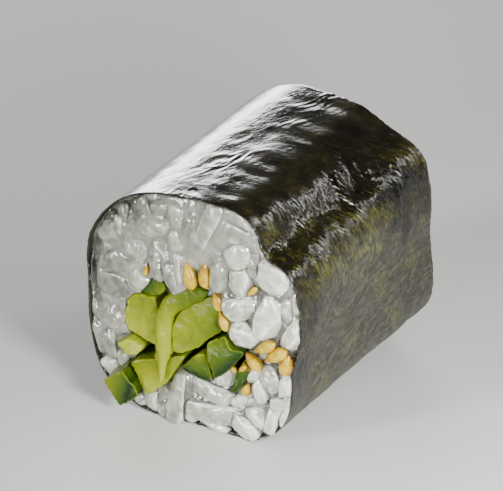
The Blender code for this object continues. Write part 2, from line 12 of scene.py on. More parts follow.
import bpy
import numpy as np
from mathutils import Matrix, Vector


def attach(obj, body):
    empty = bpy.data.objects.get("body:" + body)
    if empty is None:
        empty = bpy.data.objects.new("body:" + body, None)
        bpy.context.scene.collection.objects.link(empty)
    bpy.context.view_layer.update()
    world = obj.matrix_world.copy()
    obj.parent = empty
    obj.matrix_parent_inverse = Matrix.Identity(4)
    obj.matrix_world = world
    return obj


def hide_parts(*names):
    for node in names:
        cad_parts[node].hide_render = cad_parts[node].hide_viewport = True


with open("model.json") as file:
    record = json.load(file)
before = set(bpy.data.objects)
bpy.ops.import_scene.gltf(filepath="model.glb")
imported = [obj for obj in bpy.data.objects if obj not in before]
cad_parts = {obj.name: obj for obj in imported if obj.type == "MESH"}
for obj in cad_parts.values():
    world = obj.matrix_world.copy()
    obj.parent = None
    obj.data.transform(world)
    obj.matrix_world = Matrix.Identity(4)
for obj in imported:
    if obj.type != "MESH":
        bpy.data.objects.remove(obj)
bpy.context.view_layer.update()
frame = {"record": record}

# %% [markdown]
# ## Small helpers
#
# A surface here is a grid of points worked out by numpy as whole arrays. Sculpting or modifiers could
# give these forms too, but a formula says where every point lies beside the CAD solid. A closed body
# is a stack of rings with one pole point at each end. Grains are many such bodies in one mesh, so the
# corner lists of one body are repeated with an offset.

# %% From arrays to points and faces
MM = 0.001
AXIS = 14.1  # height of the roll's axis above the floor, mm
HALF = 16.0  # half the length of the roll, mm


def metres(across, along, up):
    """Points in metres from millimetres across, along the roll, and up from the roll's axis."""
    return np.stack(np.broadcast_arrays(across, along, up + AXIS), axis=-1) * MM


def body_faces(rings, around, bodies=1):
    """Corner lists of closed bodies: quads between neighbouring rings, triangles to the two poles.

    Points are numbered ring by ring, then the first pole and the last pole, body after body.
    """
    ring, step = np.meshgrid(np.arange(rings - 1), np.arange(around), indexing="ij")
    here = ring * around + step
    after = ring * around + (step + 1) % around
    quads = np.stack([here, here + around, after + around, after], -1).reshape(-1, 4)
    edge = np.arange(around)
    turn = (edge + 1) % around
    last = (rings - 1) * around
    pole = rings * around
    start = np.stack([np.full(around, pole), edge, turn], -1)
    end = np.stack([np.full(around, pole + 1), last + turn, last + edge], -1)
    shift = np.arange(bodies)[:, None, None] * (pole + 2)
    return (quads + shift).reshape(-1, 4), (np.vstack([start, end]) + shift).reshape(-1, 3)


def with_poles(grid):
    """Values of a body: row after row of the grid, then the means of its first and last row."""
    poles = [grid[0].mean(axis=0), grid[-1].mean(axis=0)]
    return np.concatenate([grid.reshape(-1, *grid.shape[2:]), poles])


def volume(points, faces):
    """Signed volume: the sum over fan triangles of corner . (corner x corner) / 6."""
    total = 0.0
    for spread in range(faces.shape[1] - 2):
        a, b, c = points[faces[:, 0]], points[faces[:, spread + 1]], points[faces[:, spread + 2]]
        total += np.einsum("ij,ij->", a, np.cross(b, c)) / 6.0
    return total


def oriented(points, quads, triangles):
    """Corner lists turned, if needed, so that the faces look outwards."""
    if volume(points, quads) + volume(points, triangles) < 0.0:
        return quads[:, ::-1], triangles[:, ::-1]
    return quads, triangles


cube = np.array(list(np.ndindex(2, 2, 2)), float)
cube_sides = np.array([(0, 1, 3, 2), (4, 6, 7, 5), (0, 4, 5, 1), (2, 3, 7, 6), (0, 2, 6, 4), (1, 5, 7, 3)])
print("volume of a unit cube, as a trial:", volume(cube, cube_sides))

# %% From points and faces to a piece
# Prints nothing by itself: each call below prints its piece's points and triangles
def make_piece(name, points, quads, triangles, material, slot, nodes, values=None):
    """Put points and corner lists into a mesh that faces outwards, and ride it on the frame."""
    points = points.reshape(-1, 3)
    quads, triangles = oriented(points, quads, triangles)
    mesh = bpy.data.meshes.new(name)
    mesh.from_pydata(points.tolist(), [], quads.tolist() + triangles.tolist())
    for label, value in (values or {}).items():
        kind, key = ("FLOAT_VECTOR", "vector") if np.shape(value)[-1] == 3 else ("FLOAT", "value")
        layer = mesh.attributes.new(label, kind, "POINT")
        layer.data.foreach_set(key, np.ascontiguousarray(value, np.float32).ravel())
    mesh.shade_smooth()
    mesh.materials.append(material)
    piece = bpy.data.objects.new(name, mesh)
    bpy.context.scene.collection.objects.link(piece)
    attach(piece, "root")
    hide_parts(*nodes)
    print(f"{name}: {len(points)} points, {2 * len(quads) + len(triangles)} triangles")


# %% [markdown]
# ## Noise
#
# Wrinkles, lumps and grain come from gradient noise: random slopes on the corners of a lattice,
# blended smoothly between them. A displacement modifier could add it too, but then nothing could be
# fitted to the uneven surface. A number made from a corner's place gives its slope, so the same place
# always gives the same value and nothing is left to chance.

# %% Smooth noise on points
HASH = (374761393, 668265263, 1442695041, 974711)  # large numbers that mix a corner's place and seed
HASH_AGAIN = 1274126177
SLOPES = 1024  # steps of a slope's turn and rise
NOISE_SWING = 1.7  # brings the noise to about -1..1


def noise(points, seed):
    """Gradient noise from about -1 to 1 at points of shape (..., 3), one lattice cell per unit."""
    base = np.floor(points).astype(np.int64)
    part = points - base
    fade = part ** 3 * (part * (part * 6.0 - 15.0) + 10.0)
    total = np.zeros(points.shape[:-1])
    for corner in np.ndindex(2, 2, 2):
        cell = base + corner
        mixed = cell[..., 0] * HASH[0] + cell[..., 1] * HASH[1] + cell[..., 2] * HASH[2] + seed * HASH[3]
        mixed = (mixed ^ (mixed >> 13)) * HASH_AGAIN & 0x7FFFFFFF
        mixed = mixed ^ (mixed >> 16)
        turn = (mixed & (SLOPES - 1)) * (2.0 * np.pi / SLOPES)
        rise = ((mixed >> 10) & (SLOPES - 1)) / (0.5 * (SLOPES - 1)) - 1.0
        flat = np.sqrt(1.0 - rise ** 2)
        slope = np.stack([flat * np.cos(turn), flat * np.sin(turn), rise], -1)
        weight = np.prod(np.where(corner, fade, 1.0 - fade), axis=-1)
        total += weight * np.sum(slope * (part - corner), axis=-1)
    return NOISE_SWING * total


def noise_at(x, y, z, seed):
    """Noise at three coordinates given apart."""
    return noise(np.stack(np.broadcast_arrays(x, y, z), -1), seed)


trial = noise(np.random.default_rng(1).uniform(0.0, 50.0, (5000, 3)), 1)
print("noise runs from", trial.min().round(2), "to", trial.max().round(2))

# %% Angles and soft steps
def wrap(angle):
    """Angle in degrees brought to -180..180."""
    return (angle + 180.0) % 360.0 - 180.0


def bell(angle, middle, spread):
    """1 at the middle angle, falling off on both sides."""
    return np.exp(-(wrap(angle - middle) / spread) ** 2)


def step_up(value, low, high):
    """0 below low, 1 above high, smooth in between."""
    share = np.clip((value - low) / (high - low), 0.0, 1.0)
    return share * share * (3.0 - 2.0 * share)


def bells(angle, *rows):
    """Sum of bells, each given as its height, middle and spread."""
    return sum(height * bell(angle, middle, spread) for height, middle, spread in rows)


def share_along(along_mm):
    """0 at the front of the roll and 1 at its back, for a place along it in millimetres."""
    return np.clip(along_mm / (2.0 * HALF) + 0.5, 0.0, 1.0)


print("bell at 0, 1 and 2 spreads:", bell(np.array([0.0, 10.0, 20.0]), 0.0, 10.0).round(2))

# %% [markdown]
# ## The roll's form
#
# A bamboo mat presses the roll to a soft rounded square. A cylinder could be pulled into that shape
# by hand. Here its outline is a superellipse with a few bulges and dents, one set at the front and
# one at the back, blended along the roll: the same numbers shape the CAD solid, so the dressed piece
# sits where the solid does.

# %% Outline of the roll
FRONT_SHAPE = (13.9, 14.5, 2.7)  # half width, half height, power
BACK_SHAPE = (13.6, 14.2, 3.0)
FRONT_BULGES = (  # angle, height in mm, spread in degrees
    (-141, 0.5, 11), (-50, 0.9, 15), (-18, -0.5, 10), (46, -1.9, 10), (70, 0.7, 9), (157, 0.5, 14),
)
BACK_BULGES = (
    (-138, 0.5, 14), (-36, 0.9, 14), (0, -0.5, 14), (57, -1.2, 13), (110, 0.6, 14), (160, 0.3, 14),
)
# Each wave of the creases: strength, times round the roll, twist along it, start
CREASES = ((1.0, 5, 4, 0.0), (0.6, 11, -7, 1.3), (0.4, 3, 13, 0.4))
CREASE_DEPTH = 0.16  # mm
CREASE_FREE = (40.0, 20.0)  # degrees from the underside where creases begin, and over which they grow
RIM_WAVE = 0.15  # mm
NORI_THICK = 0.2  # mm


def outline_radius(angle, shape, bulges):
    """Superellipse (|cos/a|^n + |sin/b|^n)^(-1/n) plus a bell for every bulge."""
    turn = np.radians(angle)
    half_width, half_height, power = shape
    across = np.abs(np.cos(turn) / half_width) ** power
    up = np.abs(np.sin(turn) / half_height) ** power
    radius = (across + up) ** (-1.0 / power)
    for middle, height, spread in bulges:
        radius = radius + height * bell(angle, middle, spread)
    return radius


def roll_radius(angle, along):
    """Radius at an angle; along is 0 at the front and 1 at the back. Shallow creases lie on it."""
    front = outline_radius(angle, FRONT_SHAPE, FRONT_BULGES)
    back = outline_radius(angle, BACK_SHAPE, BACK_BULGES)
    turn = np.radians(angle)
    free = np.clip((np.abs(wrap(angle + 90.0)) - CREASE_FREE[0]) / CREASE_FREE[1], 0.0, 1.0)
    wave = 0.0
    for strength, times, twist, start in CREASES:
        wave = wave + strength * np.sin(times * turn + twist * along + start)
    return front + (back - front) * along + CREASE_DEPTH * free * (0.25 * wave - 0.5)


def rim_wave(angle, end):
    """How far the cut rim waves along the roll: three waves round it, with seven weaker ones."""
    turn = np.radians(angle)
    return RIM_WAVE * (np.sin(3 * turn + 2 * end) + 0.7 * np.sin(7 * turn + end))


girth = float(roll_radius(np.arange(360.0), 0.0).mean() * 2 * np.pi)
print("girth at the front, mm:", round(girth, 1))

# %% [markdown]
# ## Material tools
#
# Colours are written as sRGB hex and turned to the linear values that shaders take. Materials
# could be wired by hand in the Shader Editor. A script that adds each node with its settings and
# links in one call reads like a list of what the finish is made of.

# %% Colours and nodes
def colour(code):
    """Linear RGBA from an sRGB hex code: c/12.92 below 0.04045, else ((c + 0.055)/1.055)^2.4."""
    value = np.array([int(code[place:place + 2], 16) for place in (1, 3, 5)]) / 255.0
    linear = np.where(value <= 0.04045, value / 12.92, ((value + 0.055) / 1.055) ** 2.4)
    return (*linear.tolist(), 1.0)


def new_material(name):
    """An empty node material."""
    material = bpy.data.materials.new(name)
    material.use_nodes = True
    material.node_tree.nodes.clear()
    return material, material.node_tree


def add(tree, kind, options=None, inputs=None, stops=()):
    """Add one node: options are its menus, inputs give a socket a value or another node's output,
    stops are the places and colours along a colour ramp."""
    node = tree.nodes.new(kind)
    for key, value in (options or {}).items():
        setattr(node, key, value)
    for key, value in (inputs or {}).items():
        if isinstance(value, bpy.types.NodeSocket):
            tree.links.new(value, node.inputs[key])
        else:
            node.inputs[key].default_value = value
    for number, (place, code) in enumerate(stops):
        if number >= len(node.color_ramp.elements):
            node.color_ramp.elements.new(1.0)
        node.color_ramp.elements[number].position = place
        node.color_ramp.elements[number].color = colour(code)
    return node


def cells(*size):
    """Mapping scale that makes one pattern cell this many millimetres along X, Y and Z."""
    return tuple(1.0 / (side * MM) for side in size)


print("a middle grey, sRGB #808080, is", round(colour("#808080")[0], 3), "linear")

# %% [markdown]
# ## Nori: the material
#
# Nori is dried, toasted laver, pressed from shreds into a thin sheet. Damp from the rice it is
# almost black with brown and olive in it, shines like satin, and its shreds show as short fibres
# and yellow-green flecks. On the right-hand side its colour is a lighter, hazier grey: a painted
# sheen, with a rougher finish. A picture of nori could be laid on it, but patterns made from noise
# stay sharp at any size. They read the place on the flattened sheet, in millimetres, so that they
# follow it round the roll.

# %% Damp nori
# Each pattern: millimetres round the roll, millimetres along it, turn, detail, roughness. A real
# fibre is 0.1 mm wide and would not show; here it is 0.3 mm.
NORI_PATTERNS = {
    "cloud": (2.4, 4.0, 20.0, 3.0, 0.55),
    "patch": (2.6, 3.4, 30.0, 2.0, 0.50),
    "fibre": (0.30, 1.10, -12.0, 5.0, 0.70),
    "fleck": (0.8, 0.30, -25.0, 5.0, 0.66),
    "crease along": (0.60, 2.0, 16.0, 2.0, 0.50),
    "crease round": (2.4, 0.50, -14.0, 2.0, 0.50),
}
NORI_RELIEF = 0.60  # mm, before each place's own strength
NORI_GLOSS = (0.12, 0.20)  # roughness of the damp sheet, from cloud to cloud
NORI_DRY_ROUGHNESS = 0.44


def make_nori_material():
    """Pressed seaweed: near-black, satin gloss, olive flecks and crossing creases. To the eye it is
    a dark skin that mirrors the window in broken streaks. On the right its colour is a dull lighter
    grey, a painted sheen, and its finish is rougher there."""
    material, tree = new_material("damp_pressed_nori")
    kept = {}
    for name in ("dry_and_sheen", "fold", "fine", "flecks", "around"):
        kept[name] = add(tree, "ShaderNodeAttribute", {"attribute_name": name}).outputs["Fac"]
    sheet = add(tree, "ShaderNodeAttribute", {"attribute_name": "sheet"}).outputs["Vector"]
    look = {}
    for name, (round_mm, along_mm, turn, detail, roughness) in NORI_PATTERNS.items():
        at = add(tree, "ShaderNodeMapping", {"vector_type": "TEXTURE"},
                 {"Vector": sheet, "Rotation": (0.0, 0.0, math.radians(turn)),
                  "Scale": (round_mm, along_mm, 1.0)})
        look[name] = add(tree, "ShaderNodeTexNoise", inputs={
            "Vector": at.outputs[0], "Scale": 1.0, "Detail": detail, "Roughness": roughness}).outputs["Fac"]
    # Cloudy brown and black with deep olive in it
    base = add(tree, "ShaderNodeValToRGB", inputs={"Fac": look["cloud"]},
               stops=((0.34, "#0c0a05"), (0.50, "#151208"), (0.60, "#201c0a"), (0.72, "#2b2d0b")))
    # Painted sheen on the right side: a lighter hazy grey with paler fibres
    painted_sheen_ramp = add(tree, "ShaderNodeValToRGB", inputs={"Fac": look["fibre"]},
               stops=((0.38, "#1c1b14"), (0.50, "#2e2d24"), (0.63, "#504f44")))
    base_and_painted_sheen = add(tree, "ShaderNodeMix", {"data_type": "RGBA"},
               {0: kept["dry_and_sheen"], 6: base.outputs["Color"], 7: painted_sheen_ramp.outputs["Color"]})
    # Olive flecks, 0.8 by 0.3 mm, gathered in patches 3 mm wide
    spots = add(tree, "ShaderNodeMath", {"operation": "MULTIPLY_ADD"},
                {0: look["patch"], 1: 0.55, 2: look["fleck"]})
    fleck = add(tree, "ShaderNodeMapRange", {"interpolation_type": "SMOOTHSTEP"},
                {"Value": spots.outputs[0], "From Min": 0.76, "From Max": 1.02})
    share = add(tree, "ShaderNodeMath", {"operation": "MULTIPLY"},
                {0: fleck.outputs[0], 1: kept["flecks"]})
    # On the right the olive flecks are paler as well, part of the painted sheen
    olive = add(tree, "ShaderNodeMix", {"data_type": "RGBA"},
                {0: kept["dry_and_sheen"], 6: colour("#5b5a1c"), 7: colour("#66672f")})
    tint = add(tree, "ShaderNodeMix", {"data_type": "RGBA"},
               {0: share.outputs[0], 6: base_and_painted_sheen.outputs[2], 7: olive.outputs[2]})
    # Creases: sharp valleys where a noise crosses its middle, |noise - 0.5|
    for name in ("crease along", "crease round"):
        off = add(tree, "ShaderNodeMath", {"operation": "SUBTRACT"}, {0: look[name], 1: 0.5})
        look[name] = add(tree, "ShaderNodeMath", {"operation": "ABSOLUTE"}, {0: off.outputs[0]}).outputs[0]
    creases = add(tree, "ShaderNodeMix", {"data_type": "FLOAT"},
                  {0: kept["around"], 2: look["crease along"], 3: look["crease round"]})
    pressed = add(tree, "ShaderNodeMath", {"operation": "MULTIPLY"}, {0: look["fibre"], 1: kept["fine"]})
    raised = add(tree, "ShaderNodeMath", {"operation": "MULTIPLY_ADD"},
                 {0: creases.outputs[0], 1: kept["fold"], 2: pressed.outputs[0]})
    bump = add(tree, "ShaderNodeBump", inputs={"Height": raised.outputs[0], "Distance": NORI_RELIEF * MM})
    gloss = add(tree, "ShaderNodeMapRange", inputs={
        "Value": look["cloud"], "From Min": 0.3, "From Max": 0.7,
        "To Min": NORI_GLOSS[0], "To Max": NORI_GLOSS[1]})
    rough = add(tree, "ShaderNodeMix", {"data_type": "FLOAT"},
                {0: kept["dry_and_sheen"], 2: gloss.outputs[0], 3: NORI_DRY_ROUGHNESS})
    shader = add(tree, "ShaderNodeBsdfPrincipled", inputs={
        "Base Color": tint.outputs[2], "Roughness": rough.outputs[0], "Normal": bump.outputs[0],
        "IOR": 1.5, "Specular IOR Level": 0.55})
    add(tree, "ShaderNodeOutputMaterial", inputs={"Surface": shader.outputs[0]})
    return material


nori_material = make_nori_material()
print(nori_material.name, "has", len(nori_material.node_tree.nodes), "nodes")

# %% [markdown]
# ## Nori: the sheet
#
# The sheet takes up water from the rice and wrinkles: short strokes along the roll on the upper
# left, folds that run down round the roll in the groove, and hardly any where it is stretched smooth
# on the right. A cloth simulation could wrinkle it, but not in these places. So two numbers run over
# it, the angle round the roll and the place along it, and each zone has strokes of its own. The
# sheet is one closed skin: an outer wall, a rim, an inner wall and the other rim.

# %% Places on the sheet
SHEET_END = -58.0  # angles of the sheet's outer and inner ends, between which it lies double
SHEET_START = -88.0
SHEET_REACH = 14.3  # millimetres round the sheet for each radian


def sheet_angle(angle):
    """The same angle counted on from the sheet's outer end, so that only the lap has a seam."""
    return (angle - SHEET_END) % 360.0 + SHEET_END


def sheet_place(angle, along_mm):
    """Place on the flattened sheet in millimetres: round the roll and along it."""
    around_mm = np.radians(sheet_angle(angle)) * SHEET_REACH
    return np.stack(np.broadcast_arrays(around_mm, along_mm, 0.5), -1)


def strokes(place, across_mm, along_mm, turn, seed):
    """Ridged noise 1 - 2|n| in strokes of a width and a length, turned from the roll's axis."""
    turned = math.radians(turn)
    first = place[..., 0] * math.cos(turned) + place[..., 1] * math.sin(turned)
    second = place[..., 1] * math.cos(turned) - place[..., 0] * math.sin(turned)
    at = np.stack([first / across_mm, second / along_mm, place[..., 2]], -1)
    return 1.0 - 2.0 * np.abs(noise(at, seed)) + 0.5 * noise(at * 2.2, seed + 1)


SHOULDER_LOW = 21.0  # degrees, the lower end of the wrinkled shoulder at the roll's middle
SHOULDER_DROP = {"front": 27.0, "back": 16.0}  # how much lower it ends there
# Height in mm, angle and spread of the crown and of the dent beside it
CROWN = {
    "front": ((0.33, 86.0, 9.0), (-0.25, 70.0, 9.0)),
    "back": ((0.12, 90.0, 12.0), (-0.22, 110.0, 14.0)),
}


def groove_low(along_mm):
    """Angle at which the wrinkled shoulder ends and the smooth side begins: lower at both ends."""
    front = 1.0 - step_up(along_mm, -14.0, -7.0)
    back = step_up(along_mm, 0.0, 10.0)
    return SHOULDER_LOW - SHOULDER_DROP["front"] * front - SHOULDER_DROP["back"] * back


def crown(angle, along_mm):
    """The top is rounder than the pressed outline, by up to 0.3 mm, so that light runs over it: a
    bell of height and a bell of dent at the front and at the back, blended along the roll."""
    back = share_along(along_mm)
    return bells(angle, *CROWN["front"]) * (1.0 - back) + bells(angle, *CROWN["back"]) * back


print("one degree round the sheet, mm:", round(math.radians(1.0) * SHEET_REACH, 2))

# %% Wrinkles
# Strokes of each zone: height, width and length in mm, turn from the roll's axis, seed
STROKES = {
    "white band": (0.035, 1.6, 4.0, 14.0, 10),
    "upper edge": (0.08, 1.1, 3.2, 16.0, 11),
    "upper edge at the rim": (0.04, 2.2, 0.7, 15.0, 13),
    "top": (0.05, 0.9, 2.2, 30.0, 15),
    "groove": (0.15, 6.0, 1.6, -8.0, 17),
    "groove, fine": (0.08, 2.2, 0.8, -14.0, 18),
    "right rim": (0.12, 2.6, 0.7, -6.0, 16),
    "right side": (0.022, 3.0, 1.2, -12.0, 19),
    "left side": (0.06, 1.5, 3.4, -16.0, 26),
}
# Wider folds: height, width and length in mm, seed
FOLDS = {"everywhere": (1.0, 6.5, 2.5, 21), "lower right": (0.18, 6.0, 2.6, 23)}
SUNK = 0.10  # mm the wrinkled sheet lies below the pressed outline


def zones(angle, along_mm, place):
    """How strongly each kind of stroke and fold shows: bells and soft steps round the roll, broken
    up in patches 3 by 5 mm."""
    front = 1.0 - step_up(along_mm, -HALF, -HALF + 6.0)
    rim = 1.0 - step_up(along_mm, -HALF + 1.0, -HALF + 6.0)
    patches = np.clip(0.55 + 1.1 * noise(place / np.array([3.0, 5.0, 1.0]), 51), 0.05, 1.5)
    edge, top = bell(angle, 96.0, 12.0), bell(angle, 72.0, 16.0)
    band = np.clip(bells(angle, (0.7, 116.0, 24.0), (0.35, 180.0, 50.0)), 0.0, 1.2)
    low = groove_low(along_mm)
    groove = step_up(angle, low - 8.0, low + 10.0) * (1.0 - step_up(angle, 50.0, 66.0))
    return {
        "white band": band * patches,
        "upper edge": edge * (1.0 - 0.5 * front) * patches,
        "upper edge at the rim": edge * front,
        "top": top * np.clip(patches - 0.5, 0.0, 1.0),
        "groove": groove,
        "groove, fine": groove,
        "right rim": rim * bell(angle, -6.0, 26.0),
        "right side": bell(angle, -10.0, 40.0),
        "left side": bell(angle, 192.0, 36.0) * patches,
        "everywhere": 0.30 * groove + 0.10 * top + 0.06,
        "lower right": bell(angle, -42.0, 14.0),
    }


def wrinkles(angle, along_mm):
    """Height of the wrinkles: the sum over the zones of weight times strokes or folds, none on the
    underside, where the sheet rests. Places are shifted a little, so that no stroke is straight."""
    free = step_up(np.abs(wrap(angle + 90.0)), 34.0, 56.0)
    place = sheet_place(angle, along_mm)
    place = place + noise(place / 4.5, 3)[..., None] * np.array([0.9, 0.7, 0.0])
    weight = zones(angle, along_mm, place)
    height = crown(angle, along_mm) - SUNK
    for zone, (rise, *stroke) in STROKES.items():
        height = height + rise * weight[zone] * strokes(place, *stroke)
    for zone, (rise, wide, long, seed) in FOLDS.items():
        height = height + rise * weight[zone] * noise(place / np.array([wide, long, 1.0]), seed)
    return height * free


print("wrinkles on the shoulder, mm:", np.round(wrinkles(np.full(5, 45.0), np.linspace(-15, 15, 5)), 2))

# %% Walls of the sheet
NORI_COLUMNS = 600
NORI_ROWS = 146
INNER_ROWS = np.array([1.0, 0.99, 0.97, 0.93, 0.8, 0.5, 0.2, 0.07, 0.03, 0.01, 0.0])
LAP_EASE = 24.0  # degrees over which the sheet settles back past its lap
LAP_EDGE = 0.8  # degrees of the step at each end of the lap
# Ragged rims: height in mm, place along, size in mm, seed; the far rim's is turned by some columns
RAGGED = ((0.12, 0.0, 0.55, 31), (0.10, 3.0, 1.7, 32))
FAR_RIM_TURN = 97


def lap_insets(angle):
    """Depth of the sheet's outer and inner faces below the roll's outline. Between its start and
    its end the sheet lies double; past its end the outer face eases back out."""
    past_end, past_start = wrap(angle - SHEET_END), wrap(angle - SHEET_START)
    relaxing = (past_end > 0.0) & (past_end < LAP_EASE)
    settled = NORI_THICK * 0.5 * (1.0 + np.cos(np.pi * past_end / LAP_EASE))
    outside = np.where(relaxing, settled * step_up(past_end, 0.0, LAP_EDGE), 0.0)
    doubled = (past_start > 0.0) & (past_end <= 0.0)
    lapped = NORI_THICK * (1.0 + step_up(past_start, 0.0, LAP_EDGE))
    return outside, np.where(doubled, lapped, outside + NORI_THICK)


def make_nori_sheet():
    """Wall points: angle t and place y give radius R(t, y) + wrinkles - inset, in the X-Z plane.
    Near a rim the place along the roll follows the rim's wave and its ragged edge."""
    angle = np.linspace(SHEET_END, SHEET_END + 360.0, NORI_COLUMNS, endpoint=False)[None, :]
    outer_rows = np.linspace(0.0, 1.0, NORI_ROWS)
    outside, inside = lap_insets(angle)
    ragged = sum(high * noise(sheet_place(angle, at) / size, seed) for high, at, size, seed in RAGGED)
    far_ragged = np.roll(ragged, FAR_RIM_TURN)
    walls, places = [], []
    for place, inset in ((outer_rows[:, None], outside), (INNER_ROWS[:, None], inside)):
        along_mm = (place - 0.5) * 2.0 * HALF
        along_mm = along_mm + (rim_wave(angle, 0) + ragged) * (1 - place) ** 5
        along_mm = along_mm + (rim_wave(angle, 1) + far_ragged) * place ** 5
        turn = np.radians(angle)
        radius = roll_radius(angle, place) + wrinkles(angle, along_mm) - inset
        up = np.maximum(radius * np.sin(turn), -AXIS + inset)
        walls.append(metres(radius * np.cos(turn), along_mm, up))
        places.append(sheet_place(angle, along_mm))
    return np.concatenate(walls), np.concatenate(places)


def band_faces(count, around):
    """Quads of a ring of rings, closed both ways."""
    ring, step = np.meshgrid(np.arange(count), np.arange(around), indexing="ij")
    ahead, above = (step + 1) % around, (ring + 1) % count
    return np.stack([ring * around + step, above * around + step, above * around + ahead,
                     ring * around + ahead], -1).reshape(-1, 4)


sheet_points, sheet_places = make_nori_sheet()
print("rows of the sheet, out and in:", NORI_ROWS, "and", len(INNER_ROWS))

# %% What the sheet's finish varies with
sheet_degrees = np.degrees(sheet_places[..., 0] / SHEET_REACH)
sheet_along = sheet_places[..., 1]
side_from = groove_low(sheet_along)
patchy = noise(sheet_places / 3.0, 41) * 9.0 + noise(sheet_places / 1.1, 42) * 5.0
# Painted sheen on the right: a lighter grey base colour there, with a rougher finish; less of it in the
# crumples behind the front rim
sheet_dry_and_sheen = 1.0 - step_up(sheet_degrees + patchy, side_from - 8.0, side_from + 18.0)
sheet_dry_and_sheen = sheet_dry_and_sheen * step_up(sheet_degrees, -110.0, -80.0)
rim_damp = 1.0 - step_up(sheet_along + 0.14 * patchy, -HALF + 1.5, -HALF + 6.5)
sheet_dry_and_sheen = sheet_dry_and_sheen * (1.0 - 0.85 * rim_damp * bell(sheet_degrees, -12.0, 26.0))
# Creases run along the roll near the top and round it elsewhere, strongest in the damp groove
sheet_around = 1.0 - bell(sheet_degrees, 115.0, 40.0)
sheet_band = step_up(sheet_degrees, 80.0, 104.0) * (1.0 - step_up(sheet_degrees, 190.0, 240.0))
sheet_wet = (1.0 - sheet_dry_and_sheen) * (1.0 - step_up(sheet_degrees, 48.0, 68.0))
sheet_fold = 0.08 + 0.60 * sheet_wet
sheet_fold = sheet_fold + bells(sheet_degrees, (0.06, 74.0, 14.0), (0.09, 106.0, 12.0), (0.20, 192.0, 34.0))
sheet_fine = 0.03 + 0.16 * sheet_dry_and_sheen * (1.0 - sheet_band)
sheet_flecks = 0.10 + 0.34 * sheet_dry_and_sheen + bells(sheet_degrees, (0.62, 30.0, 24.0), (0.40, 196.0, 36.0))
sheet_flecks = np.clip(sheet_flecks, 0.05, 1.0)
NO_TRIANGLES = np.zeros((0, 3), int)
make_piece("nori_sheet", sheet_points, band_faces(len(sheet_points), NORI_COLUMNS), NO_TRIANGLES,
           nori_material, "nori", ["nori"],
           {"dry_and_sheen": sheet_dry_and_sheen, "fold": sheet_fold, "fine": sheet_fine, "flecks": sheet_flecks,
            "around": sheet_around, "sheet": sheet_places.reshape(-1, 3)})

# %% [markdown]
# ## Cucumber: the material
#
# A cucumber stick is wet, slightly see-through flesh. It is pale in the middle of the fruit, greener
# towards the skin, and has a thin dark green skin. Painting each stick would do, but its colour mostly
# depends on how deep it lies under the skin. So every stick carries a value on its points, that depth
# in millimetres, and a colour ramp reads it. Along the edge of each cut end the value is raised, a
# painted rim of light, and a few lines of painted shade lower it.

# %% Wet cucumber
SKIN_RANGE = 8.0  # mm under the skin where the flesh is palest
CUCUMBER_COLOURS = (  # mm under the skin, colour
    (0.0, "#0d1f05"), (0.28, "#183206"), (0.5, "#2b4604"), (1.1, "#475903"), (2.4, "#657104"),
    (4.6, "#7d850a"), (8.0, "#969e27"),
)
CUCUMBER_BLOTCH = 1.6  # mm
CUCUMBER_GRAIN = 0.5  # mm
CUCUMBER_CELL = 0.35  # mm; real cells are 0.1 mm wide and would not show


def make_cucumber_material():
    """Cut cucumber: green by depth under the skin, a value that also carries painted rim light and
    painted shade; light goes in about 1 mm, wet gloss. To the eye it is juicy: soft shadows, a sheen
    on the cut faces and small glints on its cells."""
    material, tree = new_material("wet_cut_cucumber")
    place = add(tree, "ShaderNodeTexCoord").outputs["Object"]
    depth = add(tree, "ShaderNodeAttribute", {"attribute_name": "skin_mm"}).outputs["Fac"]
    patterns = []
    for size, detail in ((CUCUMBER_BLOTCH, 5.0), (CUCUMBER_GRAIN, 3.0)):
        at = add(tree, "ShaderNodeMapping", inputs={"Vector": place, "Scale": cells(size, size, size)})
        patterns.append(add(tree, "ShaderNodeTexNoise", inputs={
            "Vector": at.outputs[0], "Scale": 1.0, "Detail": detail, "Roughness": 0.6}).outputs["Fac"])
    blotch, grain = patterns
    # The depth is made uneven by the blotches, then read by the ramp
    uneven = add(tree, "ShaderNodeMath", {"operation": "MULTIPLY_ADD"}, {0: blotch, 1: 0.7, 2: 0.65})
    shaded = add(tree, "ShaderNodeMath", {"operation": "MULTIPLY"}, {0: depth, 1: uneven.outputs[0]})
    share = add(tree, "ShaderNodeMath", {"operation": "DIVIDE"}, {0: shaded.outputs[0], 1: SKIN_RANGE})
    green = add(tree, "ShaderNodeValToRGB", inputs={"Fac": share.outputs[0]},
                stops=[(at_mm / SKIN_RANGE, code) for at_mm, code in CUCUMBER_COLOURS])
    cell_map = add(tree, "ShaderNodeMapping",
                   inputs={"Vector": place, "Scale": cells(CUCUMBER_CELL, CUCUMBER_CELL, CUCUMBER_CELL)})
    cell = add(tree, "ShaderNodeTexVoronoi", inputs={"Vector": cell_map.outputs[0], "Scale": 1.0})
    low = add(tree, "ShaderNodeBump", inputs={"Height": grain, "Strength": 1.0, "Distance": 0.14 * MM})
    bump = add(tree, "ShaderNodeBump", inputs={"Height": cell.outputs["Distance"], "Strength": 0.4,
                                               "Distance": 0.02 * MM, "Normal": low.outputs[0]})
    shader = add(tree, "ShaderNodeBsdfPrincipled", inputs={
        "Base Color": green.outputs["Color"], "Roughness": 0.16, "IOR": 1.38, "Normal": bump.outputs[0],
        "Specular IOR Level": 0.38, "Subsurface Weight": 0.6, "Subsurface Radius": (1.0, 1.0, 0.4),
        "Subsurface Scale": 1.1 * MM})
    add(tree, "ShaderNodeOutputMaterial", inputs={"Surface": shader.outputs[0]})
    return material


cucumber_material = make_cucumber_material()
print(cucumber_material.name, "has", len(cucumber_material.node_tree.nodes), "nodes")

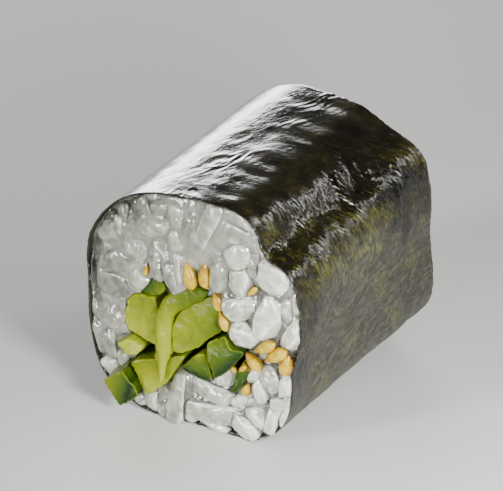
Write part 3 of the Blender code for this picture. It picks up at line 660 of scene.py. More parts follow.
# %% [markdown]
# ## Cucumber: sections of the sticks
#
# Each stick is a wedge cut lengthwise from the fruit, with its own number of corners. A bevelled
# prism could stand for it. Here its section is a few corners, rounded by cutting them again and
# again, then spread evenly, which takes any number of corners. The bundle drifts and turns a little
# towards the back of the roll.

# %% From corners to a rounded outline
BUNDLE_MIDDLE = np.array([-1.5, -4.2])  # mm across and up from the roll's axis, at the front
BUNDLE_DRIFT = np.array([0.9, 0.8])  # mm from front to back
BUNDLE_TURN = -9.0  # degrees from front to back
AROUND = 96  # points round a stick


def bundle_place(section, along):
    """Section points turned about the bundle's middle by -9 degrees times along, then shifted."""
    turn = np.radians(BUNDLE_TURN * along)
    off = section - BUNDLE_MIDDLE
    across = off[..., 0] * np.cos(turn) - off[..., 1] * np.sin(turn)
    up = off[..., 0] * np.sin(turn) + off[..., 1] * np.cos(turn)
    moved = np.stack([across, up], -1) + BUNDLE_MIDDLE
    return moved + BUNDLE_DRIFT * np.asarray(along)[..., None]


def rounded(corners, times=2, share=0.17, count=AROUND):
    """Each corner replaced by points a share in from it, times over; then equal steps round."""
    points = np.array(corners, float)
    for _ in range(times):
        ahead = np.roll(points, -1, axis=0)
        after, before = points + (ahead - points) * share, ahead + (points - ahead) * share
        points = np.stack([after, before], 1).reshape(-1, 2)
    closed = np.vstack([points, points[:1]])
    reach = np.concatenate([[0.0], np.cumsum(np.linalg.norm(np.diff(closed, axis=0), axis=1))])
    at = np.linspace(0.0, reach[-1], count, endpoint=False)
    return np.stack([np.interp(at, reach, closed[:, 0]), np.interp(at, reach, closed[:, 1])], -1)


def square(middle, size, turn):
    """Corners of a turned square."""
    angle = np.radians(turn + 45.0 + 90.0 * np.arange(4))
    arm = size / math.sqrt(2)
    return np.stack([middle[0] + arm * np.cos(angle), middle[1] + arm * np.sin(angle)], -1)


trial = rounded(square((0.0, 0.0), 2.0, 0.0))
print("a rounded square of 2 mm reaches", trial.max().round(2), "mm from its middle")

# %% The sticks of this roll
# Corners across the cut face; how far the ends stand out; facets of the front end as (out, slope
# across, slope up); lines of skin, a few of them painted shade, as (across, up, across, up, start
# depth, depth for each mm)
STICKS = {
    "cucumber_upper_left": {
        "corners": ((-9.0, -4.2), (-6.3, -5.0), (-4.7, -6.0), (-4.7, 0.9), (-7.2, 0.8), (-8.8, -0.2)),
        "front": 0.0, "back": 0.4, "facets": ((0.25, 0.12, 0.03), (0.22, -0.18, 0.10)),
        "skin": ((-8.5, 2.4, -3.6, 1.0, 1.3, 1.1),),
    },
    "cucumber_centre": {
        "corners": ((-1.9, -0.7), (-2.4, -2.2), (-2.5, -3.8), (-2.1, -5.1), (-0.6, -4.7), (0.8, -3.9),
                    (1.8, -2.8), (3.8, -1.2), (3.6, 1.1), (2.3, 2.6), (1.6, 2.5), (-0.2, 1.0), (-1.3, 0.2)),
        "front": 0.5, "back": 0.2,
        "facets": ((0.25, 0.03, -0.04), (0.30, -0.30, 0.06), (0.62, -0.05, -0.30)),
        # The first line here is painted shade, darkening the right-hand facet
        "skin": ((4.9, 3.0, 3.7, -3.5, 0.4, 0.75), (-0.6, 1.9, 2.4, 3.6, 0.8, 1.4)),
    },
    "cucumber_lower": {
        "corners": ((-7.6, -7.4), (-6.9, -9.1), (-6.0, -11.4), (-5.3, -11.3), (-3.0, -9.2),
                    (-2.2, -7.6), (-0.8, -5.3), (-2.8, -5.9), (-6.2, -6.9)),
        "front": 0.9, "back": 0.5, "facets": ((0.15, -0.08, 0.10), (0.32, -0.16, -0.12)),
        # The second line here is painted shade on the right-hand part, beside the tongue
        "skin": ((-9.0, -7.1, -1.0, -4.9, 0.55, 2.3), (-1.6, -4.0, -0.4, -7.5, 1.5, 1.2)),
    },
    "cucumber_bit": {
        "corners": ((-9.6, -5.9), (-8.4, -6.9), (-6.9, -6.7), (-6.3, -5.7), (-7.2, -5.2), (-8.5, -5.0)),
        "front": 0.8, "back": 0.1, "facets": ((0.15, 0.12, -0.05), (0.18, -0.27, -0.30)),
        "skin": (),
    },
    "cucumber_underside": {
        "corners": ((-1.8, -7.4), (1.4, -8.0), (2.6, -7.6), (2.1, -5.9), (1.7, -4.5), (1.0, -4.4),
                    (-0.3, -5.7)),
        "front": 0.3, "back": 0.6, "facets": ((0.2, 0.10, 0.12), (0.25, -0.25, 0.05)),
        "skin": ((-2.2, -7.2, 2.8, -8.1, 0.0, 0.75),),
    },
    "cucumber_right": {
        "corners": ((2.0, -2.9), (2.3, -4.6), (2.8, -6.0), (3.0, -7.3), (4.3, -6.3), (6.4, -3.9),
                    (7.0, -2.7), (5.1, -3.0), (4.6, -1.2)),
        "front": 0.6, "back": 0.3, "facets": ((0.15, 0.02, -0.12), (0.15, -0.12, 0.14)),
        # The second line here is a painted shadow along the top edge, under the centre stick
        "skin": ((2.9, -7.7, 7.5, -2.8, 0.0, 0.55), (1.9, -2.6, 5.6, -0.6, 0.5, 1.3)),
    },
    "cucumber_strip": {
        "corners": ((6.9, -3.8), (6.5, -4.6), (5.8, -5.7), (5.4, -7.2), (5.1, -8.6), (5.8, -8.3),
                    (7.2, -6.1), (8.1, -4.5), (7.6, -3.5)),
        "front": 0.3, "back": 0.2, "facets": ((0.1, 0.1, 0.0), (0.1, -0.15, 0.02)),
        "skin": ((5.0, -9.2, 8.9, -4.2, 0.15, 0.8), (4.9, -8.7, 6.8, -3.2, 0.25, 1.0)),
    },
    "cucumber_top": {
        "corners": ((-6.8, 1.1), (-5.0, 1.2), (-4.1, 1.5), (-3.2, 2.7), (-4.1, 3.7), (-4.9, 3.5)),
        "front": 0.2, "back": 0.5, "facets": ((0.15, 0.1, 0.1),),
        "skin": ((-7.2, 0.9, -4.7, 3.9, 0.05, 1.1), (-5.4, 4.1, -2.6, 3.4, 0.1, 1.1)),
    },
}
# The corner stick is square, stands out of the roll and leans and flares there
CORNER = {
    "middle": (-8.5, -10.2), "size": 3.05, "turn": 38.0,
    "front": 2.6, "back": 0.4, "facets": ((0.1, 0.10, 0.06), (0.16, -0.12, 0.02)),
    "skin": ((-6.5, -8.4, -7.5, -12.6, 0.0, 0.95), (-9.0, -13.9, -5.6, -10.4, 0.15, 0.8)),
    "lean": np.array([0.5, -0.2]), "lean_from": 1.05, "flare": 0.14,
}
outlines = {name: rounded(stick["corners"]) for name, stick in STICKS.items()}
outlines["cucumber_corner"] = rounded(square(CORNER["middle"], CORNER["size"], CORNER["turn"]), share=0.08)
print("sticks:", ", ".join(outlines))

# %% [markdown]
# ## Cucumber: sticks through the roll
#
# A stick runs right through the roll and was cut with it. A knife cut could be a Boolean, which
# leaves no rounded edge. Here a stick is its section carried along the roll, and each end is a cap:
# the outline shrinks towards its middle while the surface follows the knife, which leaves one or two
# flat facets with a crease between them and a narrow rounded edge.

# %% Cut ends
CAP = np.array([0.05, 0.13, 0.22, 0.31, 0.40, 0.49, 0.58, 0.66,
                0.74, 0.81, 0.87, 0.915, 0.95, 0.975, 0.99, 1.0])  # rings of a cap, middle to outline
EDGE = 0.16  # mm, the rounded edge of a cut end
BACK_FACETS = ((0.0, 0.06, 0.03),)
# Knife marks: height and size in mm, seed, and whether they are sharp valleys, |noise|
CUT_MARKS = ((0.50, 2.8, 2, True), (0.09, 1.3, 0, False), (0.05, 0.42, 1, False))


def distance_to_lines(section, lines):
    """Smallest depth under the straight lines, of skin and of painted shade: start + rate times the
    distance to a line.
    """
    nearest = np.full(section.shape[:-1], SKIN_RANGE)
    for x1, z1, x2, z2, start, rate in lines:
        length = math.hypot(x2 - x1, z2 - z1)
        away = np.abs((x2 - x1) * (section[..., 1] - z1) - (z2 - z1) * (section[..., 0] - x1)) / length
        nearest = np.minimum(nearest, rate * away + start)
    return nearest


def cap_rise(section, middle, facets, seed):
    """Height of a cut end: the lowest of its facet planes, plus wide valleys, soft dimples and the
    marks of the knife."""
    off = section - middle
    rise = np.min([out + across * off[..., 0] + up * off[..., 1] for out, across, up in facets], axis=0)
    for height, size, more, valley in CUT_MARKS:
        mark = noise_at(section[..., 0] / size, section[..., 1] / size, seed * 1.7 / size, seed + more)
        rise = rise + height * (np.abs(mark) if valley else mark)
    return rise


trial = distance_to_lines(np.array([3.7, 0.0]), STICKS["cucumber_centre"]["skin"])
print("the right edge of the centre stick lies", float(trial.round(2)), "mm under the skin")

# %% Stick surfaces
BODY_RINGS = 12
RIPPLES = ((0.7, 1.6, 5.0, 9), (1.1, 0.4, 2.5, 10))  # strength, mm across, mm along, seed
RIPPLE_DEPTH = 0.13  # mm
PAINTED_RIM_LIGHT_MM = 1.6  # mm that the edge of a cut end is read as deeper, so paler: painted rim light


def stick_surface(outline, stick, seed):
    """Rings m + q (o - m) from the middle m out to the outline o at the front, along the body, and
    in again at the back. The walls ripple along their normals, and a leaning stick is shifted and
    widened where it stands out."""
    middle = outline.mean(axis=0)
    size = np.linalg.norm(outline - middle, axis=1).mean()
    section = middle + CAP[:, None, None] * (outline - middle)
    edge_from = 1.0 - EDGE / size
    bend = np.clip((CAP - edge_from) / (1.0 - edge_from), 0.0, 1.0)
    drop = EDGE * (1.0 - np.sqrt(1.0 - bend ** 2))[:, None]
    facets = stick["facets"]
    out_front = stick["front"] + cap_rise(section, middle, facets, seed) - facets[0][0] - drop
    out_back = stick["back"] + cap_rise(section, middle, BACK_FACETS, seed + 5) - drop
    along_front, along_back = -HALF - out_front, HALF + out_back
    body = np.linspace(0.0, 1.0, BODY_RINGS + 2)[1:-1, None]
    between = along_front[-1] + (along_back[-1] - along_front[-1]) * body
    along_mm = np.concatenate([along_front, between, along_back[::-1]])
    rings = np.concatenate([section, np.broadcast_to(outline, (BODY_RINGS, *outline.shape)), section[::-1]])
    ripple = 0.0
    for strength, wide, long, more in RIPPLES:
        wave = noise_at(rings[..., 0] / wide, along_mm / long, rings[..., 1] / wide, seed + more)
        ripple = ripple + strength * wave
    near_edge = np.concatenate([CAP ** 6, np.ones(BODY_RINGS), CAP[::-1] ** 6])[:, None, None]
    rings = rings + RIPPLE_DEPTH * near_edge * ripple[..., None] * (rings - middle) / size
    if "lean" in stick:
        share = step_up(-HALF - along_mm, stick["lean_from"], stick["front"])[..., None]
        rings = middle + (rings - middle) * (1.0 + stick["flare"] * share) + stick["lean"] * share
    placed = bundle_place(rings, share_along(along_mm))
    return metres(placed[..., 0], along_mm, placed[..., 1]), rings


def make_stick(name, outline, stick, seed):
    """One stick as a piece, with its depth under the skin on every point. The edge of a cut end is
    made paler as painted rim light, standing in for light that comes out again there."""
    points, rings = stick_surface(outline, stick, seed)
    painted_rim_light = PAINTED_RIM_LIGHT_MM * step_up(CAP, 0.90, 0.97) * (1.0 - step_up(CAP, 0.985, 1.0))
    painted_rim_light = np.concatenate([painted_rim_light, np.zeros(BODY_RINGS), painted_rim_light[::-1]])[:, None]
    depth = distance_to_lines(rings, stick["skin"]) + painted_rim_light
    make_piece(name + "_stick", with_poles(points), *body_faces(len(points), AROUND), cucumber_material,
               slots[name], [name], {"skin_mm": with_poles(depth)})


slots = {part["node"]: part["material_slot"] for part in frame["record"]["subparts"]}
for number, (name, stick) in enumerate(STICKS.items()):
    make_stick(name, outlines[name], stick, 40 + 11 * number)
make_stick("cucumber_corner", outlines["cucumber_corner"], CORNER, 200)

# %% [markdown]
# ## Cucumber: the soft tongue
#
# In the middle a thin curved slice of the soft core bends over from the upper right and hangs down
# in front of the stick below. A curve with a bevel could follow it, but its section changes from a
# deep slice to a thin tip. So it is a tube along a bent path, whose section is a narrow rounded
# oblong: inside the roll it is as long as the roll, and only its front end goes on to the tip.

# %% Path and size of the tongue
TONGUE_PATH = np.array([  # mm across and up, from the bend at the top to the tip
    (1.75, 3.2), (-0.1, 2.3), (-1.6, 1.5), (-2.8, 0.5), (-3.4, -0.8), (-3.5, -2.5), (-3.55, -4.1),
    (-3.45, -5.6), (-3.25, -6.6), (-3.1, -7.5), (-3.05, -8.5),
])
# At each of these places: half the width, how far it stands out, depth under the skin; the depth
# is smaller at the bend at the top, partly for greener flesh and partly as painted shade
TONGUE_HALF = np.array([0.5, 1.15, 1.3, 1.15, 1.05, 1.05, 1.05, 0.98, 0.62, 0.34, 0.16])
TONGUE_OUT = np.array([0.3, 0.5, 0.75, 1.0, 1.15, 1.15, 1.2, 1.4, 1.65, 1.85, 1.95])
TONGUE_SKIN_AND_SHADE = np.array([1.0, 1.2, 1.9, 3.4, 5.5, 6.5, 6.5, 6.5, 7.0, 7.5, 8.0])
TONGUE_DEEP_UNTIL = 0.66  # share of the path up to which it runs back through the roll
TONGUE_THICK = (0.75, 0.40)  # mm where it hangs free, and at the tip
TONGUE_EDGE = (0.85, 0.75)  # rounding of its front: share of the half width, and at most so many mm
TONGUE_ROWS, TONGUE_AROUND = 72, 64
tongue_share = np.linspace(0.0, 1.0, TONGUE_ROWS)


def eased(values):
    """Values at the path's places, blended by a blur along the path: knots turn to a smooth run."""
    fine = np.linspace(0.0, 1.0, 400)
    blur = np.exp(-(np.linspace(-2.2, 2.2, 61)) ** 2)
    dense = np.interp(fine, np.linspace(0.0, 1.0, len(values)), values)
    padded = np.pad(dense, 30, mode="reflect", reflect_type="odd")
    return np.interp(tongue_share, fine, np.convolve(padded, blur / blur.sum(), mode="valid"))


print("the tongue stands out by up to", eased(TONGUE_OUT).max().round(2), "mm")

# %% Tongue surface
def tongue_half():
    """Half width along the path: rounded off at its start, and ragged towards the tip."""
    start = 1.0 - np.minimum(tongue_share, 0.06) / 0.06
    ends = np.sqrt(np.clip(1.0 - start ** 2, 0.02, 1.0))
    uneven = noise_at(tongue_share * 16.0, 3.3, 7.1, 73)
    ragged = 0.10 + 0.22 * step_up(tongue_share, 0.6, 0.85)
    return np.maximum(eased(TONGUE_HALF), 0.08) * ends * (1.0 + ragged * uneven)


def make_tongue():
    """Path point c(s), sideways n(s), half width w(s); round the section t gives n w cos t, squared
    off by a power of 0.55, and a depth whose corners are rounded off by a superellipse. The depth
    reaches to the back inside the roll."""
    path = np.stack([eased(TONGUE_PATH[:, 0]), eased(TONGUE_PATH[:, 1])], -1)
    heading = np.gradient(path, axis=0)
    heading = heading / np.linalg.norm(heading, axis=1, keepdims=True)
    sideways = np.stack([-heading[:, 1], heading[:, 0]], -1)
    half, out = tongue_half(), eased(TONGUE_OUT)
    deep = 1.0 - step_up(tongue_share, TONGUE_DEEP_UNTIL, TONGUE_DEEP_UNTIL + 0.04)
    thin = TONGUE_THICK[0] - (TONGUE_THICK[0] - TONGUE_THICK[1]) * step_up(tongue_share, 0.7, 1.0)
    front, rear = -HALF - out, (HALF + 0.2) * deep + (-HALF - out + thin) * (1.0 - deep)
    turn = np.linspace(0.0, 2.0 * np.pi, TONGUE_AROUND, endpoint=False)
    side = np.sign(np.cos(turn)) * np.abs(np.cos(turn)) ** 0.55
    rounding = np.minimum(TONGUE_EDGE[0] * half, TONGUE_EDGE[1])[:, None]
    dip = rounding * (1.0 - np.sqrt(np.clip(1.0 - np.abs(side) ** 2.1, 0.0, 1.0)))[None, :]
    front_half = np.sin(turn)[None, :] >= 0.0
    middle = 0.5 * (front + rear)[:, None]
    along_mm = np.where(front_half, front[:, None] + dip, rear[:, None] - dip * 0.6)
    blend = step_up(np.abs(np.sin(turn))[None, :], 0.0, 0.18)
    along_mm = middle + (along_mm - middle) * (0.12 + 0.88 * blend)
    section = path[:, None, :] + sideways[:, None, :] * (half[:, None] * side[None, :])[..., None]
    wobble = noise_at(section[..., 0] / 1.2, np.minimum(along_mm, -10.0) / 1.5, section[..., 1] / 1.2, 71)
    along_mm = along_mm - 0.20 * wobble * front_half
    placed = bundle_place(section, share_along(along_mm))
    # Greener where the slice bends over at the top, partly greener flesh and partly painted shade, and
    # greener along its left edge
    depth = eased(TONGUE_SKIN_AND_SHADE)[:, None] * (1.0 - 0.25 * np.clip(-side, 0.0, 1.0))[None, :]
    return metres(placed[..., 0], along_mm, placed[..., 1]), depth


tongue_points, tongue_depth_and_shade = make_tongue()
make_piece("cucumber_tongue_slice", with_poles(tongue_points), *body_faces(TONGUE_ROWS, TONGUE_AROUND),
           cucumber_material, slots["cucumber_tongue"], ["cucumber_tongue"],
           {"skin_mm": with_poles(tongue_depth_and_shade)})

# %% [markdown]
# ## Rice and sesame: the materials
#
# Cooked short-grain rice is see-through white: light enters a grain, spreads about a millimetre and
# comes out again, so shadows are soft and thin edges are bright. It is sticky and wet, with small
# sharp glints. Toasted sesame is a dry golden husk, browner towards its tip. Glass-like volumes could
# show the rice, at many times the render time. One function makes both finishes, as both are a ramp
# of colours over a value on the grains, with a relief under a gloss.

# %% Finish of small grains
def make_grain_material(name, value, patterns, share, stops, bumps, finish):
    """The ramp reads the grains' own value plus a share of the first pattern. Each further pattern
    is a relief with a strength and a depth in mm, on top of the one before."""
    material, tree = new_material(name)
    place = add(tree, "ShaderNodeTexCoord").outputs["Object"]
    own = add(tree, "ShaderNodeAttribute", {"attribute_name": value}).outputs["Fac"]
    made = []
    for size, detail in patterns:
        at = add(tree, "ShaderNodeMapping", inputs={"Vector": place, "Scale": cells(size, size, size)})
        made.append(add(tree, "ShaderNodeTexNoise", inputs={
            "Vector": at.outputs[0], "Scale": 1.0, "Detail": detail}).outputs["Fac"])
    mixed = add(tree, "ShaderNodeMath", {"operation": "MULTIPLY_ADD"}, {0: made[0], 1: share, 2: own})
    tone = add(tree, "ShaderNodeValToRGB", inputs={"Fac": mixed.outputs[0]}, stops=stops)
    normal = {}
    for height, (strength, depth) in zip(made[1:], bumps):
        relief = {"Height": height, "Strength": strength, "Distance": depth * MM, **normal}
        normal = {"Normal": add(tree, "ShaderNodeBump", inputs=relief).outputs[0]}
    if "Coat Weight" in finish:
        normal["Coat Normal"] = normal["Normal"]
    shader = add(tree, "ShaderNodeBsdfPrincipled",
                 inputs={"Base Color": tone.outputs["Color"], **normal, **finish})
    add(tree, "ShaderNodeOutputMaterial", inputs={"Surface": shader.outputs[0]})
    return material


# Cooked rice: milky, light goes in 1 to 2 mm, and a film of water on a skin with lumps 0.6 mm wide
# breaks the window into wet specks. The film's own ripples are 0.2 mm wide.
rice_material = make_grain_material(
    "cooked_rice", "tone", ((1.2, 3.0), (0.6, 2.0), (0.22, 1.0)), 0.8,
    ((0.15, "#5e5f56"), (0.55, "#9a9b8e"), (1.00, "#dcddd0")), ((1.0, 0.13), (1.0, 0.015)),
    {"Roughness": 0.12, "IOR": 1.42, "Specular IOR Level": 0.95, "Subsurface Weight": 1.0,
     "Subsurface Radius": (1.0, 0.97, 0.88), "Subsurface Scale": 1.4 * MM, "Coat Weight": 1.0,
     "Coat Roughness": 0.04, "Coat IOR": 1.6})
# Toasted sesame: golden cream, browner at the tip and in blotches, darker along its sides as painted
# shade, an oily silky husk whose grain, really under 0.1 mm, is drawn 0.25 mm wide
sesame_material = make_grain_material(
    "toasted_sesame", "tip", ((0.9, 3.0), (0.25, 2.0)), 0.7,
    ((0.25, "#ceb42a"), (0.50, "#a8820e"), (0.90, "#3a1e05")), ((0.4, 0.05),),
    {"Roughness": 0.15, "IOR": 1.46, "Specular IOR Level": 0.50, "Subsurface Weight": 0.10,
     "Subsurface Radius": (1.0, 0.85, 0.4), "Subsurface Scale": 0.5 * MM})
print("made", rice_material.name, "and", sesame_material.name)

# %% [markdown]
# ## Rice: where the grains lie
#
# In the roll a few hundred grains are pressed together. A rigid-body simulation could pour them in,
# but the grains that catch the eye lie in known places. So these are placed one by one, as two tips
# on the cut face, a width and how far their front stands out. Behind them, and on the far end, grains
# are scattered by a rule: they start on a jittered lattice with random headings, then push each other
# apart until they lie snugly between the nori and the cucumber.

# %% Grains placed one by one
# One tip across and up, the other tip, the width, and how far the front stands out, all in mm
FRONT_GRAINS = np.array([
    (-7.6, 9.2, -2.5, 10.2, 2.5, 0.3), (-6.8, 13.2, -5.8, 10.6, 1.8, 0.15),
    (-5.7, 11.4, -2.9, 12.8, 1.9, 0.05), (-4.9, 7.2, -4.1, 3.3, 1.6, 0.6),
    (-2.6, 6.1, -2, 2.4, 2.2, 0.8), (-2.1, 7.6, -1.5, 3.6, 1.7, 0.55),
    (-2.4, 10.1, -1.8, 7.2, 1.4, 0.45), (-12.5, 1.3, -8, 1.4, 3.1, 0.6),
    (-11.9, 3.4, -8.2, 4.9, 2.9, 0.25), (-8, 3.8, -5.8, 2, 2.6, 0.45), (-9.9, 10, -9.5, 7.7, 0.9, 0.35),
    (-12.6, 6.2, -9.3, 8.6, 2.6, 0), (-9.4, 6.2, -5.7, 6.2, 2.6, 0.15),
    (-6.2, 7.1, -3, 7.5, 2.1, -0.35), (-2.4, 13.6, -1.7, 10.4, 1.9, 0.3),
    (3.3, 14.8, 0.8, 6.8, 3.1, 0.5), (0.4, 14.1, -0.7, 9.4, 2.2, 0.1),
    (3.6, 13.6, 7.3, 12.5, 1.8, -0.3), (1.8, 10.8, 7.5, 11.7, 3.4, 0.25),
    (4.9, 7.4, 7.3, 10.4, 2.9, 0.55), (3.4, 8.5, 3.3, 3.7, 1.9, 0.55), (6.4, 7.6, 5.9, 3.4, 2.9, 0.3),
    (8.2, 9.9, 7.7, 6.6, 1.4, 0.35), (10.2, 9.8, 10.5, 4.8, 3.6, 0.6), (3.8, 2, 8.6, 3, 2.9, 0.75),
    (10.7, 5.1, 8.5, -0.6, 3.4, 0.85), (11.9, 5.1, 12.2, 1.3, 1.8, 0.15),
    (14, 2.6, 11.7, -1.3, 2.5, 0.55), (4.9, -0.5, 9.1, -1.1, 3.1, 0.75),
    (-12.9, -2.3, -9.2, -3.6, 3.2, 0.15), (-11.0, -4.6, -10.3, -8.6, 2.3, 0.3),
    (-13.0, -3.6, -12.4, -8.6, 1.9, -0.15), (-12.4, -10.4, -9.9, -8.6, 2.2, 0.15),
    (-9.7, -6.9, -9.2, -9.3, 1.5, 0.1), (-1.4, -7.7, -2.3, -14.7, 2.5, 0.95),
    (-1.2, -8.6, 5.4, -9.6, 2.7, 0.5), (-0.6, -11.2, 7.4, -11.6, 3.1, 0.75),
    (-1.3, -12, 0.6, -13.5, 1.7, 0.2), (0.6, -13.8, 4.8, -14, 1.6, 0.2),
    (4.6, -11, 8.6, -13.6, 2.3, 0.6), (4.9, -10.1, 6.8, -8.6, 1.4, 0.3), (8, -5.4, 8.6, -9.4, 2.3, 0.4),
    (9.4, -3.9, 10.6, -7.4, 2.5, 0.6), (12.2, -4.3, 12.2, -8.3, 2.3, 0.5),
    (10, -8.9, 13.4, -7.1, 1.7, 0.7), (7.1, -9.8, 9.4, -12.2, 2.1, 0.3),
    (9.6, -12.7, 10.7, -9, 2.3, 0.3), (12.5, -8.2, 11.6, -11.5, 1.7, 0.25),
    (2.7, -8.2, 5.2, -5.8, 2.1, 0), (7.2, -6.6, 8.9, -4.5, 1.7, 0.5),
    (-5.9, -11.2, -5.3, -14.6, 2.7, -0.1), (-8.1, -12.2, -6.8, -14.0, 1.9, 0.0),
    (-4.4, -12.6, -3.4, -14.6, 1.6, 0.2),
])
print("placed grains:", len(FRONT_GRAINS))

# %% Room between the nori and the cucumber
bundle_points = np.vstack(list(outlines.values()))
BEARING_WIDTH = 0.05  # radians
RICE_CLEAR = 0.2  # mm between scattered grains and the nori
FLOOR_CLEAR = 0.1
STAND_BACK = ((0.9, 166.0, 14.0), (1.0, 129.0, 11.0))  # mm, angle, spread


def inside_outline(spots, outline):
    """Whether each place lies within an outline: an odd number of its sides to the right."""
    ahead = np.roll(outline, -1, axis=0)
    crosses = (outline[None, :, 1] > spots[:, None, 1]) != (ahead[None, :, 1] > spots[:, None, 1])
    rise = ahead[:, 1] - outline[:, 1]
    rise = np.where(rise == 0.0, 1e-9, rise)
    at = outline[:, 0] + (spots[:, None, 1] - outline[:, 1]) * (ahead[:, 0] - outline[:, 0]) / rise
    return (crosses & (spots[:, None, 0] < at)).sum(axis=1) % 2 == 1


def inside_sticks(spots):
    """Whether each place lies within any stick's outline."""
    return np.any([inside_outline(spots, outline) for outline in outlines.values()], axis=0)


def bundle_reach(turn):
    """Distance from the bundle's middle to its farthest outline within 0.05 rad of each angle."""
    offsets = bundle_points - BUNDLE_MIDDLE
    bearing = np.arctan2(offsets[:, 1], offsets[:, 0])
    apart = np.abs((bearing[None] - turn[:, None] + np.pi) % (2 * np.pi) - np.pi)
    return np.where(apart < BEARING_WIDTH, np.linalg.norm(offsets, axis=1)[None], 0.0).max(axis=1)


def outside_bundle(spots, along):
    """Whether each place lies outside the line drawn round all the sticks."""
    off = spots - BUNDLE_DRIFT * along - BUNDLE_MIDDLE
    return np.linalg.norm(off, axis=1) > bundle_reach(np.arctan2(off[:, 1], off[:, 0]))


def stand_back(angle, along):
    """How far the grains stand back from the nori: at the front they have come away on the left."""
    return bells(angle, *STAND_BACK) * (1.0 - step_up(along, 0.0, 0.25))


def room_move(spots, radius, along):
    """How far each disc has to move to lie within the nori and off the sticks of cucumber."""
    reach = np.linalg.norm(spots, axis=1)
    angle = np.degrees(np.arctan2(spots[:, 1], spots[:, 0]))
    limit = roll_radius(angle, along) - NORI_THICK - RICE_CLEAR - stand_back(angle, along)
    move = -spots / reach[:, None] * np.clip(reach + radius - limit, 0.0, None)[:, None]
    move[:, 1] += np.clip(-AXIS + NORI_THICK + FLOOR_CLEAR + radius - spots[:, 1], 0.0, None)
    hole = bundle_place(bundle_points, np.full(len(bundle_points), along))
    apart = spots[:, None] - hole[None]
    distance = np.linalg.norm(apart, axis=2)
    nearest = distance.argmin(axis=1)
    away = apart[np.arange(len(spots)), nearest]
    gap = distance[np.arange(len(spots)), nearest]
    within = inside_sticks(spots - BUNDLE_DRIFT * along)
    push = np.where(within, gap + radius, np.clip(radius - gap, 0.0, None))
    way = np.where(within, -1.0, 1.0)[:, None] * away / np.maximum(gap, 1e-6)[:, None]
    return move + way * push[:, None]


print("reach of the bundle to the right, mm:", bundle_reach(np.zeros(1)).round(2)[0])

# %% Scattering and settling
ROUNDS = 70
DISCS = np.array([0.08, 0.5, 0.92])  # places of the three discs along a grain's rod
CROWD = 0.78  # share of their widths at which two discs touch, as grains press into each other
SHOVE, WALL_SHOVE = 0.35, 0.6  # share of an overlap that one round undoes
LATTICE, JITTER = 14.0, 0.4  # half width of the lattice in mm, and how far a grain leaves its place
WIDTHS, LENGTHS = (2.1, 2.6), (4.4, 5.4)  # mm


def heading_of(start, end):
    """Unit vectors from start to end."""
    return (end - start) / np.linalg.norm(end - start, axis=1, keepdims=True)


def settle(start, end, radius, along):
    """Grains as three discs on a rod: overlapping discs push apart, walls push back, rods keep
    their length. start and end are the rods' ends."""
    length = np.linalg.norm(end - start, axis=1, keepdims=True)
    owner = np.repeat(np.arange(len(start)), 3)
    wide = np.repeat(radius, 3)
    for _ in range(ROUNDS):
        discs = (start[:, None] + (end - start)[:, None] * DISCS[None, :, None]).reshape(-1, 2)
        apart = discs[:, None] - discs[None]
        distance = np.linalg.norm(apart, axis=2) + 1e-6
        near = CROWD * (wide[:, None] + wide[None]) - distance
        near = np.where(owner[:, None] == owner[None], 0.0, np.clip(near, 0.0, None))
        move = SHOVE * (apart / distance[..., None] * near[..., None]).sum(axis=1)
        move = (move + WALL_SHOVE * room_move(discs, wide, along)).reshape(-1, 3, 2)
        start = start + (move * (1.0 - DISCS)[None, :, None]).sum(axis=1) / 1.5
        end = end + (move * DISCS[None, :, None]).sum(axis=1) / 1.5
        middle = 0.5 * (start + end)
        heading = heading_of(start, end)
        start, end = middle - heading * length / 2, middle + heading * length / 2
    return start, end


def scatter(draw, spacing, along):
    """Grains on a jittered lattice, each with a random heading and length, then settled. Those that
    lie within the bundle's line, before or after, are left out."""
    steps = np.arange(-LATTICE, LATTICE + 0.1, spacing)
    lattice = np.stack(np.meshgrid(steps, steps), -1).reshape(-1, 2)
    lattice = lattice + draw.uniform(-JITTER, JITTER, lattice.shape) * spacing
    angle = np.degrees(np.arctan2(lattice[:, 1], lattice[:, 0]))
    room = roll_radius(angle, along) - np.linalg.norm(lattice, axis=1)
    lattice = lattice[(room > 0.9) & outside_bundle(lattice, along)]
    count = len(lattice)
    turn = draw.uniform(0.0, np.pi, count)
    width = draw.uniform(*WIDTHS, count)
    half = 0.5 * (draw.uniform(*LENGTHS, count) - width)[:, None]
    heading = np.stack([np.cos(turn), np.sin(turn)], -1)
    start, end = settle(lattice - heading * half, lattice + heading * half, width / 2, along)
    reach = heading_of(start, end) * width[:, None] / 2
    kept = outside_bundle(0.5 * (start + end), along)
    return (start - reach)[kept], (end + reach)[kept], width[kept]


draw = np.random.default_rng(7)
under_front = scatter(draw, 2.3, 0.0)
far_outer = scatter(draw, 2.9, 1.0)
far_deep = scatter(draw, 2.6, 1.0)
print("grains behind the placed ones:", len(under_front[2]))
print("grains at the far end:", len(far_outer[2]) + len(far_deep[2]))

# %% [markdown]
# ## Rice: the form of a grain
#
# A cooked grain is a plump oblong, a little bent and tapered. Packed grains press flats into each
# other, and the knife planes off what stands out of the cut face, with crisp edges. Metaballs would
# melt them together and lose these edges. So each grain starts as a rounded oblong, then planes cut
# it: one at each neighbour, where the two touch, a few loose ones, and the knife's. All grains are
# worked out at once: the first axis of every array counts the grains, the next two run along and
# round a grain.

# %% Where grains touch
TOUCHING = 9  # neighbours that may press a flat into a grain
SAMPLES = 9  # places along a grain's middle line where the gap to a neighbour is measured
FAR = 1e3  # mm, the distance of a plane that never cuts
FRONT_SHARE = 0.36  # a grain's front stands out by this share of its thickness over its middle line


